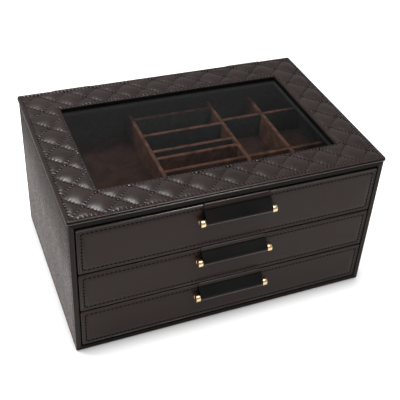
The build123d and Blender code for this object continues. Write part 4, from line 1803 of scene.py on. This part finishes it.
@dataclass
class Studio:
    """A plain pale floor, soft light and the photograph's camera."""

    camera_place: Point = (-0.2408, -0.5685, 0.5552)
    azimuth: float = 25.45
    elevation: float = 36.86
    roll: float = 4.68
    focal_pixels: float = 767.2
    principal: Flat = (220.0, 180.0)
    frame_pixels: float = 400.0
    sensor_width: float = 36.0
    aim: Point = (0.0, 0.0, 0.1)
    ambient: float = 0.4
    floor_size: float = 14.0
    floor_lift: float = 0.6
    floor_glow: float = 0.2
    contact_reach: float = 17.0 * MM
    contact_dark: float = 0.46

    def build(self) -> None:
        """Builds the floor, the lights, the world and the camera."""
        self.build_floor()
        self.build_world()
        self.add_lamp("back_softbox", place=(-0.27, 0.14, 0.86), size=0.3, power=5.6)
        self.add_lamp("front_softbox", place=(0.3, -0.6, 1.2), size=0.35, power=5.0)
        self.build_camera()

    def build_floor(self) -> None:
        """Lays the floor, which shows white by its glow, with a painted contact shadow where something stands
        on it.
        """
        free_hands()
        bpy.ops.mesh.primitive_plane_add(size=self.floor_size)
        floor = settle(bpy.context.object, "floor")
        material, tree, shader, _ = new_finish("studio_floor")
        path = tree.nodes.new("ShaderNodeLightPath").outputs
        # Painted contact shadow: the floor's glow to the camera fades where ambient occlusion finds something
        # close by.
        contact = add_node(tree, "ShaderNodeAmbientOcclusion", Distance=self.contact_reach)
        open_floor = spread(tree, contact.outputs["AO"], self.contact_dark, 1.0, 0.0, self.floor_lift)
        seen = arithmetic(tree, "MULTIPLY", path["Is Camera Ray"], open_floor)
        mirrored = arithmetic(tree, "MULTIPLY", path["Is Glossy Ray"], self.floor_glow)
        fill(
            tree, shader, Base_Color=(0.93, 0.93, 0.93, 1), Roughness=0.9, Specular_IOR_Level=0.1,
            Emission_Color=(1, 1, 1, 1), Emission_Strength=arithmetic(tree, "ADD", seen, mirrored),
        )
        floor.data.materials.append(material)

    def build_world(self) -> None:
        """Gives soft light from all round, and white behind the floor's end."""
        world = bpy.data.worlds.new("studio")
        bpy.context.scene.world = world
        world.use_nodes = True
        tree = world.node_tree
        tree.nodes.clear()
        path = tree.nodes.new("ShaderNodeLightPath").outputs
        dim = add_node(tree, "ShaderNodeBackground", Color=(1, 1, 1, 1), Strength=self.ambient)
        bright = add_node(tree, "ShaderNodeBackground", Color=(1, 1, 1, 1), Strength=1.0)
        mix = tree.nodes.new("ShaderNodeMixShader")
        seen = arithmetic(tree, "MAXIMUM", path["Is Camera Ray"], path["Is Transmission Ray"])
        tree.links.new(seen, mix.inputs[0])
        tree.links.new(dim.outputs[0], mix.inputs[1])
        tree.links.new(bright.outputs[0], mix.inputs[2])
        add_node(tree, "ShaderNodeOutputWorld", Surface=mix.outputs[0])

    def add_lamp(self, name: str, place: Point, size: float, power: float) -> None:
        """Hangs a square softbox that faces the lid.

        Args:
            name: The lamp's name.
            place: Where it hangs.
            size: The length of its side.
            power: Its power in watts.
        """
        lamp = bpy.data.lights.new(name, "AREA")
        lamp.shape = "SQUARE"
        lamp.size = size
        lamp.energy = power
        holder = bpy.data.objects.new(name, lamp)
        bpy.context.scene.collection.objects.link(holder)
        holder.location = place
        holder.rotation_euler = (Vector(self.aim) - Vector(place)).to_track_quat("-Z", "Y").to_euler()

    def build_camera(self) -> None:
        """Places the camera that was solved from the photograph."""
        a, e, r = (math.radians(v) for v in (self.azimuth, self.elevation, self.roll))
        ahead = Vector((math.sin(a) * math.cos(e), math.cos(a) * math.cos(e), -math.sin(e)))
        right = ahead.cross(Vector(UP)).normalized()
        up = right.cross(ahead)
        turned_right = right * math.cos(r) + up * math.sin(r)
        turned_up = up * math.cos(r) - right * math.sin(r)
        data = bpy.data.cameras.new("camera")
        data.sensor_width = self.sensor_width
        data.lens = self.focal_pixels / self.frame_pixels * self.sensor_width
        data.shift_x = (self.frame_pixels / 2 - self.principal[0]) / self.frame_pixels
        data.shift_y = (self.principal[1] - self.frame_pixels / 2) / self.frame_pixels
        data.clip_start = 0.01
        data.clip_end = 50.0
        camera = bpy.data.objects.new("camera", data)
        bpy.context.scene.collection.objects.link(camera)
        turn = Matrix((turned_right, turned_up, -ahead)).transposed().to_4x4()
        camera.matrix_world = Matrix.Translation(self.camera_place) @ turn
        bpy.context.scene.camera = camera


def main() -> None:
    """Builds the whole scene."""
    bpy.context.scene.view_settings.view_transform = "Standard"
    finishes = Wardrobe()
    CarcassLook().build(finishes)
    HingeLook().build(finishes)
    WindowLook().build(finishes)
    QuiltedLid().build(finishes)
    DrawerLook("bottom_drawer").build(finishes)
    DrawerLook("middle_drawer").build(finishes)
    DrawerLook("top_drawer", crest=Crest.POLISHED, band=3.2 * MM).build(finishes)
    Studio().build()


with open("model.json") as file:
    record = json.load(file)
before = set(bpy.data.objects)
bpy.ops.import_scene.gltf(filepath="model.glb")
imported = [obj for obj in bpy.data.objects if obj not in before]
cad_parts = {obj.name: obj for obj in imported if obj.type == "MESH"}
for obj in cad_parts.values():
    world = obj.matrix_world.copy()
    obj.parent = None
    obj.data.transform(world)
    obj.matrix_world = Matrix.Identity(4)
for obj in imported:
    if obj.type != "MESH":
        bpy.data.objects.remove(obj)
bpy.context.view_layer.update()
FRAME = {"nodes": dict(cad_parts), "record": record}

if __name__ == "__main__":
    main()
